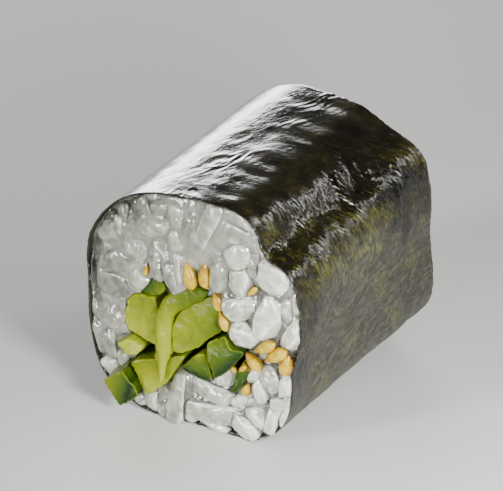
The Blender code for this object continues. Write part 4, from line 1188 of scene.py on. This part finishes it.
def rods_of(start, end, width, thick, level):
    """Middle lines of grains as (across, up, out) end points, and the radius round them."""
    reach = heading_of(start, end) * (0.42 * width)[:, None]
    out = (level - FRONT_SHARE * thick)[:, None]
    return np.hstack([start + reach, out]), np.hstack([end - reach, out]), 0.25 * (width + thick)


def contact_planes(rods, others):
    """For each grain its nearest neighbours' touching planes: normal towards the neighbour, and the
    distance of the plane from the grain's middle, split by the two radii. Far ones never cut."""
    share = np.linspace(0.0, 1.0, SAMPLES)[None, :, None]
    low, high, radius = rods
    own = low[:, None] + (high - low)[:, None] * share
    other_low, other_high, other_radius = others
    theirs = other_low[:, None] + (other_high - other_low)[:, None] * share
    apart = theirs[None, :, None] - own[:, None, :, None]
    distance = np.linalg.norm(apart, axis=-1)
    count, rest = distance.shape[:2]
    flat = distance.reshape(count, rest, -1)
    nearest = flat.argmin(axis=2)
    gap = np.take_along_axis(flat, nearest[..., None], 2)[..., 0]
    way = np.take_along_axis(apart.reshape(count, rest, -1, 3), nearest[..., None, None], 2)[:, :, 0]
    at = np.take_along_axis(own, (nearest // SAMPLES)[..., None], 1)
    normal = way / np.maximum(gap, 1e-6)[..., None]
    total = radius[:, None] + other_radius[None]
    middle = 0.5 * (low + high)[:, None]
    depth = np.sum(normal * (at - middle), axis=-1) + gap * radius[:, None] / total
    depth = np.where((gap < 0.3 * total) | (gap > 1.15 * total), FAR, depth)
    order = np.argsort(np.where(depth > 0.1 * FAR, FAR, gap / total), axis=1)[:, :TOUCHING]
    return np.take_along_axis(normal, order[..., None], 1), np.take_along_axis(depth, order, 1)


rods = rods_of(np.zeros((1, 2)), np.array([[5.0, 0.0]]), np.array([2.3]), np.array([2.1]), np.zeros(1))
print("a grain 5 mm long has a middle line of", round(float(rods[1][0, 0] - rods[0][0, 0]), 2), "mm")

# %% Planes that cut a grain
SOFT_FLAT, SOFT_KNIFE = 0.08, 0.15  # mm, how round the edge of a flat and of the knife's cut is
GRAIN_LOOK = {
    "power": 2.4, "square": 0.95,  # fullness towards the tips; 1 is a round section, less is squarer
    "lump": 0.12, "pits": 0.075,  # unevenness as a share of the width, and dents in mm
    "taper": 0.16, "point": 0.0, "bend": 0.25, "slant": 0.22,  # shares, mm and radians
    "sides": 3, "press": (0.80, 0.97),  # loose planes round a grain, and how far out they lie
    "knife": 0.20, "cut": 0.49,  # tilt of the knife's plane, and where it cuts, share of thickness
}


def cut_by_plane(axial, across, out, normal, depth, soft):
    """Moves points that lie past a plane back onto it along its normal; soft rounds the edge."""
    past = normal[0] * axial + normal[1] * across + normal[2] * out - depth
    back = 0.5 * (past + np.sqrt(past ** 2 + soft ** 2))
    return axial - normal[0] * back, across - normal[1] * back, out - normal[2] * back


def unit(*parts):
    """Three arrays scaled to length one together."""
    length = np.sqrt(sum(part ** 2 for part in parts))
    return [part / length for part in parts]


def press_neighbours(body, start, end, planes):
    """Cut by the touching planes, whose normals are turned into each grain's own axes."""
    heading = heading_of(start, end)
    normals, depths = planes
    for number in range(normals.shape[1]):
        x, z, y = (normals[:, number, axis] for axis in range(3))
        local = (x * heading[:, 0] + z * heading[:, 1], z * heading[:, 0] - x * heading[:, 1], y)
        body = cut_by_plane(*body, [part[:, None, None] for part in local],
                            depths[:, number, None, None] - 0.01, SOFT_FLAT)
    return body


def press_loosely(body, size, draw, look):
    """Cut by a few random planes round each grain, and by one near either tip."""
    count, sides = len(body[0]), look["sides"]
    for number in range(sides + 2 if sides else 0):
        jitter = draw.uniform(-1.0, 1.0, (3, count, 1, 1))
        share = draw.uniform(*look["press"], (count, 1, 1))
        round_at = 2.0 * np.pi * (number + 0.35 * jitter[0]) / sides
        ahead = np.full((count, 1, 1), 1.0 if number == sides else -1.0)
        if number < sides:
            normal = unit(0.35 * jitter[1], np.cos(round_at), np.sin(round_at))
        else:
            normal = unit(ahead, 0.5 * jitter[1], 0.35 * jitter[2])
        support = np.sqrt(sum((0.5 * long * part) ** 2 for long, part in zip(size, normal)))
        body = cut_by_plane(*body, normal, share * support, SOFT_FLAT)
    return body


trial = cut_by_plane(np.array([2.0]), np.zeros(1), np.zeros(1), (1.0, 0.0, 0.0), 1.0, SOFT_FLAT)
print("a point 2 mm out, cut at 1 mm, comes to", trial[0].round(3)[0], "mm")

# %% Grains among their neighbours
SHEET_CLEAR = 0.04  # mm between rice and the sheet's inner face
RIM_CLEAR = 0.05  # mm in front of the rim, to its outer face
SOFT_LIMIT = 0.12  # mm over which the sheet turns a grain's wall aside


def orient(start, end, axial, across, out, side):
    """Local axes to the roll's: length along the heading in the cut face, out away from the roll.
    Each grain gets a pole point at either end. Grains stay off the cucumber, nori and floor."""
    heading = heading_of(start, end)
    middle = 0.5 * (start + end)
    hx, hz = heading[:, 0, None, None], heading[:, 1, None, None]
    x = middle[:, 0, None, None] + hx * axial - hz * across
    z = middle[:, 1, None, None] + hz * axial + hx * across
    x, z = off_sticks(x, z, out, side)
    x, y, z = within_nori(x, side * (HALF + out), z)
    points = metres(x, y, z)
    poles = np.stack([points[:, 0].mean(axis=1), points[:, -1].mean(axis=1)], 1)
    return np.concatenate([points.reshape(len(start), -1, 3), poles], axis=1)


def off_sticks(x, z, out, side):
    """Points of grains behind a stick's cut end and inside its outline go to the outline."""
    along, end = (0.0, "front") if side < 0.0 else (1.0, "back")
    spots = np.stack([x.ravel(), z.ravel()], -1)
    for name, outline in outlines.items():
        wall = bundle_place(outline, np.full(len(outline), along))
        stands = STICKS[name][end] if name in STICKS else 0.0
        low, high = wall.min(axis=0), wall.max(axis=0)
        near = np.flatnonzero(((spots > low) & (spots < high)).all(axis=1) & (out.ravel() < stands + 0.1))
        near = near[inside_outline(spots[near], wall)]
        apart = np.linalg.norm(spots[near, None] - wall[None], axis=2)
        spots[near] = wall[apart.argmin(axis=1)]
    return spots[:, 0].reshape(x.shape), spots[:, 1].reshape(x.shape)


def within_nori(x, y, z):
    """Radius softly limited to the sheet's inner face, or to its outer face in front of the rim."""
    reach = np.hypot(x, z)
    angle = np.degrees(np.arctan2(z, x))
    beyond = step_up(np.abs(y), HALF - 0.1, HALF + 0.3)
    inside = lap_insets(angle)[1]
    limit = roll_radius(angle, share_along(y)) + wrinkles(angle, y)
    limit = limit - (inside + SHEET_CLEAR) * (1.0 - beyond) - RIM_CLEAR * beyond
    spare = limit - reach
    held = limit - 0.5 * (spare + np.sqrt(spare ** 2 + SOFT_LIMIT ** 2))
    scale = held / np.maximum(reach, 1e-6)
    low = -AXIS + (inside + 0.05) * (1.0 - beyond) + 0.06 * beyond
    return x * scale, y, np.maximum(z * scale, low)


trial = within_nori(np.array([20.0]), np.zeros(1), np.zeros(1))
print("a point 20 mm to the right is held at", trial[0].round(2)[0], "mm")

# %% A plump grain
def plump(start, end, width, thick, level, side, draw, rings, around, look, planes=None):
    """Along a grain s = -1..1, half width (1 - |s|^p)^(1/2); round it t gives cos and sin, squared
    off. The body bends by (1 - s^2), tapers towards one tip and is lumpy. Touching planes and loose
    ones press flats into it, the knife's tilted plane cuts its front, and small dents follow."""
    count = len(start)
    s = -np.cos(np.pi * (np.arange(rings) + 0.7) / (rings + 0.4))[None, :, None]
    t = (2.0 * np.pi * np.arange(around) / around)[None, None, :]
    wide_share = np.sign(np.cos(t)) * np.abs(np.cos(t)) ** look["square"]
    deep_share = np.sign(np.sin(t)) * np.abs(np.sin(t)) ** look["square"]
    # Eight draws for each grain, two of them spare
    drawn = [draw.uniform(-1.0, 1.0, (count, 1, 1)) for _ in range(8)]
    taper, bend, _, tilt, tilt_up, slant, cut, _ = drawn
    fat = np.sqrt(np.clip(1.0 - np.abs(s) ** look["power"], 0.0, 1.0))
    near_tip = look["point"] * (0.5 - 0.5 * s) ** 2
    long = np.linalg.norm(end - start, axis=1)[:, None, None]
    wide, deep = width[:, None, None], thick[:, None, None]
    seeds = np.arange(count)[:, None, None] * 3.7
    spots = np.stack(np.broadcast_arrays(s * long / 2.6 + seeds, fat * wide_share * wide / 2.2,
                                         fat * deep_share * deep / 2.2 + seeds), -1)
    lumps = 1.0 + look["lump"] * noise(spots * 1.3, 5) + 0.5 * look["lump"] * noise(spots * 2.9, 6)
    across = 0.5 * wide * fat * wide_share * lumps * (1.0 - look["taper"] * taper * s) * (1.0 - near_tip)
    across = across + look["bend"] * bend * (1 - s ** 2)
    out = 0.5 * deep * fat * deep_share * lumps * (1.0 - 0.5 * near_tip)
    axial = np.broadcast_to(0.5 * long * s, out.shape)
    body = (axial, across, out)
    if planes is not None:
        body = press_neighbours(body, start, end, planes)
    body = press_loosely(body, (long, wide, deep), draw, look)
    knife = look["knife"]
    tilted = unit(knife * tilt, 1.6 * knife * tilt_up, np.ones_like(tilt))
    axial, across, out = cut_by_plane(*body, tilted, (look["cut"] + 0.04 * cut) * deep, SOFT_KNIFE)
    dents = np.stack([axial / 0.8 + seeds, across / 0.8, out / 0.8 + seeds], -1)
    out = out + look["pits"] * noise(dents, 7) + 0.5 * look["pits"] * noise(dents * 2.3, 8)
    across = across + look["pits"] * noise(dents + 9.5, 9)
    turn = look["slant"] * slant
    middle_out = (level - FRONT_SHARE * thick)[:, None, None]
    return orient(start, end, axial * np.cos(turn) - out * np.sin(turn), across,
                  axial * np.sin(turn) + out * np.cos(turn) + middle_out, side)


one = FRONT_GRAINS[:1]
trial = plump(one[:, :2], one[:, 2:4], one[:, 4], one[:, 4], one[:, 5], -1.0, np.random.default_rng(2),
              12, 10, GRAIN_LOOK)
print("a grain of 12 rings of 10 points has", trial.shape[1], "points with its poles")

# %% [markdown]
# ## Rice: core and grains
#
# Cooked rice sticks together with its own starch, which fills the gaps between grains. Only grains
# with gaps between them would look dry and loose. So behind the grains there is one closed core, a
# ring round the bundle. Its ends follow the grains a little behind their fronts: nearly level with
# them on the upper left, where they are pressed into one mass, and deeper on the right, where single
# grains stand out. The grains are one piece: the placed ones, a layer behind them and two layers at
# the far end.

# %% Layers of grains
FAR_FUSED = 0.4  # how much the rice of the far end has run together, the same all over it
PRESS_LONG, PRESS_WIDE = (0.03, 0.03), (1.16, 0.10)  # more length and width, and more again if fused


def upper_left(x, z):
    """How far a place lies towards the upper left, in millimetres: up less 0.9 of across."""
    return z - 0.9 * x


def fused_share(x, z, side):
    """1 where the front is pressed into one mass, on the upper left; 0 where single grains show."""
    return step_up(upper_left(x, z), -1.0, 6.0) if side < 0.0 else np.full(np.shape(x), FAR_FUSED)


def painted_shade_tone(x, z):
    """Painted shade: the tone is lowered towards the upper left, where the rice is pressed and lies deeper
    in shade.
    """
    return -0.26 * step_up(upper_left(x, z), -1.0, 6.0) - 0.16 * step_up(upper_left(x, z), 8.0, 20.0)


def layer(start, end, width, level, side, rings, around, tone):
    """One layer's grains, wider and longer than they look, so that they press into each other, each
    with its own milkiness from the range of tones, plus painted shade: darker towards the upper left
    at the front, and a little darker all over the far end."""
    middle = 0.5 * (start + end)
    fused = fused_share(middle[:, 0], middle[:, 1], side)
    stretch = (PRESS_LONG[0] + PRESS_LONG[1] * fused)[:, None] * (end - start)
    width = width * (PRESS_WIDE[0] + PRESS_WIDE[1] * fused)
    # Painted shade: darker towards the upper left at the front, and a little darker all over the far end
    shade = painted_shade_tone(*middle.T) if side < 0.0 else -0.1
    return {"rods": (start - stretch, end + stretch, width, np.clip(width, 1.5, 2.6) * 0.9, level),
            "side": side, "rings": rings, "around": around,
            "tone": draw.uniform(*tone, len(width)) + shade}


placed = (FRONT_GRAINS[:, 0:2], FRONT_GRAINS[:, 2:4], FRONT_GRAINS[:, 4])
LAYERS = (
    # Tone ranges: the layer behind the placed grains and the deep layer at the far end are darker, painted
    # shade where they lie deeper
    layer(*placed, FRONT_GRAINS[:, 5], -1.0, 32, 26, (0.05, 0.50)),
    layer(*under_front, draw.uniform(-0.8, -0.35, len(under_front[2])), -1.0, 18, 14, (-0.15, 0.10)),
    layer(*far_outer, draw.uniform(0.0, 0.5, len(far_outer[2])), 1.0, 16, 14, (0.15, 0.50)),
    layer(*far_deep, draw.uniform(-0.6, -0.1, len(far_deep[2])), 1.0, 10, 10, (-0.10, 0.15)),
)
print("grains in each layer:", [len(grains["tone"]) for grains in LAYERS])

# %% Level of the starch between the grains
SHARPNESS = 8.0  # of the soft maximum, per mm
SINK = (0.46, 0.26)  # mm below a grain's front at its middle line, and less where it is fused
SINK_AWAY = (0.66, 0.36)  # mm more at its edge
# Relief of the starch: size in mm, height in mm, place in the noise, seed
STARCH = ((1.1, 0.10, 4.4, 61), (0.45, 0.06, 8.1, 62))
RIDGES = 0.20  # mm, where the rice has run together


def fill_level(x, z, side):
    """Soft maximum over the grains of their level less a sink, which grows with the square of the
    distance to their middle line over their radius; plus a fine relief, and on the upper left
    ridges that fan out from the middle."""
    fused = fused_share(x, z, side)[..., None]
    total = np.zeros(x.shape)
    for grains in LAYERS:
        if grains["side"] == side:
            start, end, width, _, level = grains["rods"]
            along = end - start
            off = np.stack([x, z], -1)[..., None, :] - start
            share = np.clip(np.sum(off * along, -1) / np.sum(along ** 2, -1), 0.2, 0.8)
            distance = np.linalg.norm(off - share[..., None] * along, axis=-1) / (0.5 * width)
            sink = SINK[0] - SINK[1] * fused + (SINK_AWAY[0] - SINK_AWAY[1] * fused) * distance ** 2
            total = total + np.exp(SHARPNESS * (level - sink)).sum(axis=-1)
    relief = sum(high * noise_at(x / size, z / size, at, seed) for size, high, at, seed in STARCH)
    fan = noise_at(np.arctan2(z, x) * 9.0 / 1.3, np.hypot(x, z) / 3.6, 2.2, 63)
    return np.log(total) / SHARPNESS + relief + RIDGES * fused[..., 0] * np.abs(fan)


trial = fill_level(np.array([-6.0, 9.0]), np.array([8.0, 2.0]), -1.0)
print("starch at the upper left and right, mm:", trial.round(2))

# %% Core of packed rice
CORE_COLUMNS, CORE_END_ROWS, CORE_RINGS = 300, 44, 25
WALL_CLEAR = 0.12  # mm round the bundle
LEAST_RICE = 0.6  # mm between the nori and the bundle
DEEPEST = {-1.0: -1.3, 1.0: -0.9}  # mm, how far the starch sinks at most, front and far end


def core_walls(angle, along):
    """The core's outer wall just inside the nori's outline, and its inner wall round the bundle,
    which leaves some rice between them everywhere."""
    turn = np.radians(angle)
    reach = bundle_reach(turn) + WALL_CLEAR
    radius = roll_radius(angle, along) - 0.1
    outer = np.stack([radius * np.cos(turn), np.maximum(radius * np.sin(turn), -AXIS + 0.3)], -1)
    hole = BUNDLE_MIDDLE + np.stack([reach * np.cos(turn), reach * np.sin(turn)], -1)
    hole = bundle_place(hole, np.full(len(angle), along))
    close = np.linalg.norm(outer[None] - hole[:, None], axis=2).min(axis=1)
    short = np.clip(LEAST_RICE - close, 0.0, None)[:, None]
    return outer, hole - short * hole / np.linalg.norm(hole, axis=1, keepdims=True)


def core_end(angle, along, side):
    """Rows from the nori to the bundle at the starch's level, sunk where the rice stands back."""
    outer, hole = core_walls(angle, along)
    share = np.linspace(0.0, 1.0, CORE_END_ROWS)[:, None, None]
    face = outer[None] + (hole - outer)[None] * share
    from_nori = np.linalg.norm(face - outer, axis=-1)
    sunk = 2.6 * stand_back(angle, along) * np.exp(-((from_nori - 1.1) / 0.9) ** 2)
    level = np.maximum(fill_level(face[..., 0], face[..., 1], side) - sunk, DEEPEST[side])
    level = level - 0.12 * np.exp(-(share[..., 0] * (CORE_END_ROWS - 1)) / 1.5)
    return metres(*within_nori(face[..., 0], side * (HALF + level), face[..., 1]))


def make_core():
    """Closed ring: the front end, the wall under the nori, the far end, the wall round the bundle.
    The angle t runs round it."""
    angle = np.linspace(-180.0, 180.0, CORE_COLUMNS, endpoint=False)
    walls = ([], [])
    for along in np.linspace(0.0, 1.0, CORE_RINGS)[1:-1]:
        along_mm = np.full(CORE_COLUMNS, (along - 0.5) * 2.0 * HALF)
        for wall, ring in zip(walls, core_walls(angle, along)):
            wall.append(metres(*within_nori(ring[:, 0], along_mm, ring[:, 1])))
    front, back = core_end(angle, 0.0, -1.0), core_end(angle, 1.0, 1.0)
    points = np.concatenate([front[::-1], np.array(walls[0]), back, np.array(walls[1])[::-1]])
    x, z = points[..., 0] / MM, points[..., 2] / MM - AXIS
    # Painted shade: the core is darker where it lies deep between single grains, away from the fused upper
    # left, and darker again towards the upper left
    tone = -0.15 + 0.43 * fused_share(x, z, -1.0) + painted_shade_tone(x, z)
    return points, tone


core_points, core_painted_shade_tone = make_core()
make_piece("rice_core", core_points, band_faces(len(core_points), CORE_COLUMNS), NO_TRIANGLES,
           rice_material, "rice", ["rice"], {"tone": core_painted_shade_tone.reshape(-1)})

# %% [markdown]
# ## Sesame seeds
#
# A sesame seed is a flat drop, 3.1 by 1.6 by 1.1 mm, pointed at one end. One seed could be copied many
# times, but these are so few and so large in view that each is its own form, made like a grain. Those
# that show lie between the rice and the cucumber; a few more are scattered on the far end.

# %% Sesame
FRONT_SEEDS = np.array([  # pointed tip across and up, the other tip, width, how far it stands out
    (-0.9, 6.9, 0.0, 3.1, 2.1, 0.35), (1.7, 7.4, 1.6, 3.7, 1.8, 0.3), (3.0, 3.8, 3.7, 1.4, 1.7, 0.5),
    (3.5, 1.7, 4.6, -0.8, 1.4, 0.45), (8.1, -2.3, 11.0, -0.5, 1.7, 0.9),
    (9.3, -3.4, 12.5, -1.1, 1.9, 0.8), (7.3, -2.5, 9.1, -4.5, 1.8, 0.95),
    (12.7, -1.4, 12.1, -4.3, 2.0, 0.85), (7.5, -6.5, 6.8, -8.3, 1.3, 0.45),
    (6.3, -5.4, 7.3, -4.4, 0.8, 0.55), (-5.7, 5.1, -6.2, 3.4, 0.9, 0.3), (7, 4.1, 8.3, 5.5, 0.9, 0.1),
    (4.9, -5, 5.7, -5.9, 0.8, 0.2),
])
BACK_SEEDS = np.array([  # middle across and up, turn in degrees
    (-6.2, 6.4, 20), (-3.1, 5.2, 75), (0.4, 5.9, 110), (4.9, 2.4, 60), (7.6, -1.6, -30),
    (8.3, -4.8, 40), (4.1, -9.3, 10), (-10.6, -2.7, 85),
])
SEED_LENGTH = 3.1
SEED_RINGS, SEED_AROUND = 28, 24
SEED_LOOK = {**GRAIN_LOOK, "power": 2.2, "square": 1.0, "lump": 0.05, "pits": 0.02, "taper": 0.10,
             "point": 0.8, "bend": 0.06, "slant": 0.14, "sides": 0, "knife": 0.0, "cut": 0.6}


def merge(parts):
    """Several sets of closed bodies in one mesh: points one after another, corner lists shifted."""
    points, quads, triangles, shift = [], [], [], 0
    for spots, four, three in parts:
        spots = spots.reshape(-1, 3)
        four, three = oriented(spots, four, three)
        points.append(spots)
        quads.append(four + shift)
        triangles.append(three + shift)
        shift += len(spots)
    return np.vstack(points), np.vstack(quads), np.vstack(triangles)


far_turn = np.radians(BACK_SEEDS[:, 2])
far_reach = 0.5 * SEED_LENGTH * np.stack([np.cos(far_turn), np.sin(far_turn)], -1)
each = np.ones(len(BACK_SEEDS))
# The ends, width, thickness and level of the seeds, and which end of the roll they lie on
SEEDS = (
    (FRONT_SEEDS[:, :2], FRONT_SEEDS[:, 2:4], FRONT_SEEDS[:, 4], FRONT_SEEDS[:, 4] * 0.8,
     FRONT_SEEDS[:, 5] + 0.2, -1.0),
    (BACK_SEEDS[:, :2] - far_reach, BACK_SEEDS[:, :2] + far_reach, 1.6 * each, 1.1 * each, 0.5 * each, 1.0),
)
# Browner at the pointed tip; darker along the two sides, which is painted shade
seed_round = np.linspace(0.0, 2.0 * np.pi, SEED_AROUND, False)
browner_tip_and_shaded_sides = 0.7 * np.linspace(1.0, 0.0, SEED_RINGS)[:, None] ** 4 + 0.34 * np.cos(seed_round) ** 6
browner_tip_and_shaded_sides = np.append(browner_tip_and_shaded_sides.ravel(), [0.7, 0.0])
parts, tips = [], []
for seeds in SEEDS:
    bodies = plump(*seeds, draw, SEED_RINGS, SEED_AROUND, SEED_LOOK)
    parts.append((bodies, *body_faces(SEED_RINGS, SEED_AROUND, len(bodies))))
    tips.append(np.tile(browner_tip_and_shaded_sides, len(bodies)))
make_piece("sesame_seeds", *merge(parts), sesame_material, "rice", ["rice"], {"tip": np.concatenate(tips)})

# %% All the grains
def sharpness(bodies, rings, around):
    """How sharply the surface bends round a grain at each point: the distance to the middle of the
    two neighbours over the distance between them, 0 on a flat and 0.3 on a crisp edge."""
    grid = bodies[:, :-2].reshape(len(bodies), rings, around, 3)
    ahead, behind = np.roll(grid, -1, axis=2), np.roll(grid, 1, axis=2)
    bend = np.linalg.norm(grid - 0.5 * (ahead + behind), axis=-1)
    sharp = bend / np.maximum(np.linalg.norm(ahead - behind, axis=-1), 1e-9)
    return np.pad(sharp.reshape(len(bodies), -1), ((0, 0), (0, 2)))


parts, tones = [], []
for grains in LAYERS:
    grid = (grains["rings"], grains["around"])
    others = [rods_of(*grains["rods"])]
    others += [rods_of(*seeds[:5]) for seeds in SEEDS if seeds[5] == grains["side"]]
    planes = contact_planes(others[0], [np.concatenate(kind) for kind in zip(*others)])
    bodies = plump(*grains["rods"], grains["side"], draw, *grid, GRAIN_LOOK, planes)
    parts.append((bodies, *body_faces(*grid, len(bodies))))
    # Painted light: a grain's tone is raised along a crisp edge, standing in for light that comes out again
    # there
    edge_light_painted = step_up(sharpness(bodies, *grid), 0.08, 0.20)
    fused = fused_share(*grains["rods"][0].T, grains["side"])
    tones.append((grains["tone"][:, None] + (0.4 - 0.2 * fused)[:, None] * edge_light_painted).reshape(-1))
make_piece("rice_grains", *merge(parts), rice_material, "rice", ["rice"], {"tone": np.concatenate(tones)})

# %% [markdown]
# ## Floor, light and camera
#
# A plain pale floor. A ring of soft light would be even and dull on something wet. Here light comes
# mostly from low behind on the left, which draws the white band along the nori. Two windows in front
# give the wet glints on rice and cucumber, and softer lights on the right fill the shadows.

# %% Floor
def make_floor():
    """A wide flat sheet of matt paper under the roll, four corners at z = 0."""
    mesh = bpy.data.meshes.new("floor")
    corners = [(-3.0, -3.0, 0.0), (3.0, -3.0, 0.0), (3.0, 3.0, 0.0), (-3.0, 3.0, 0.0)]
    mesh.from_pydata(corners, [], [(0, 1, 2, 3)])
    material, tree = new_material("matt_paper_floor")
    shader = add(tree, "ShaderNodeBsdfPrincipled",
                 inputs={"Base Color": colour("#d8d8d5"), "Roughness": 0.7})
    add(tree, "ShaderNodeOutputMaterial", inputs={"Surface": shader.outputs[0]})
    mesh.materials.append(material)
    floor = bpy.data.objects.new("floor", mesh)
    bpy.context.scene.collection.objects.link(floor)
    return floor


print("floor, metres across:", make_floor().dimensions[0])

# %% Lights
# Direction from the roll, distance and size in metres, power in watts
LIGHTS = {
    "window_behind_left": ((-0.585, 0.77, 0.155), 0.60, (0.30, 0.19), 3.0),
    "kicker_behind_right": ((0.54, 0.69, 0.42), 0.60, (0.18, 0.10), 1.0),
    "key_right": ((0.74, -0.57, 0.36), 0.115, (0.03, 0.03), 0.22),
    "window_front_left": ((-0.45, -0.84, 0.30), 0.60, (0.13, 0.13), 2.7),
    "window_front": ((0.03, -0.995, 0.10), 0.60, (0.09, 0.09), 1.4),
    "soft_front": ((-0.15, -0.80, 0.85), 0.70, (0.45, 0.35), 0.1),
    "rim_right": ((0.95, 0.30, 0.30), 0.55, (0.16, 0.16), 0.35),
}
for name, (direction, distance, size, power) in LIGHTS.items():
    lamp = bpy.data.lights.new(name, "AREA")
    lamp.shape = "RECTANGLE"
    lamp.size, lamp.size_y = size
    lamp.energy = power
    holder = bpy.data.objects.new(name, lamp)
    way = Vector(direction).normalized()
    holder.location = Vector((0.0, 0.0, AXIS * MM)) + way * distance
    holder.rotation_euler = way.to_track_quat("Z", "Y").to_euler()
    holder.visible_camera = False
    bpy.context.scene.collection.objects.link(holder)
world = bpy.data.worlds.new("studio")
bpy.context.scene.world = world
world.use_nodes = True
world.node_tree.nodes["Background"].inputs["Color"].default_value = colour("#ffffff")
world.node_tree.nodes["Background"].inputs["Strength"].default_value = 0.09
print("lights:", ", ".join(LIGHTS))

# %% Camera
TARGET = Vector((-1.517, -0.216, 15.42)) * MM
AZIMUTH, ELEVATION = math.radians(30.0), math.radians(27.0)
CAMERA_DISTANCE = 0.6  # metres
backwards = Vector((math.sin(AZIMUTH) * math.cos(ELEVATION), -math.cos(AZIMUTH) * math.cos(ELEVATION),
                    math.sin(ELEVATION)))
camera = bpy.data.objects.new("camera", bpy.data.cameras.new("camera"))
camera.data.sensor_width = 36.0
camera.data.lens = 375.0
camera.data.clip_start, camera.data.clip_end = 0.01, 20.0
camera.location = TARGET + backwards * CAMERA_DISTANCE
camera.rotation_euler = backwards.to_track_quat("Z", "Y").to_euler()
bpy.context.scene.collection.objects.link(camera)
bpy.context.scene.camera = camera
print("camera, metres:", [round(value, 3) for value in camera.location])
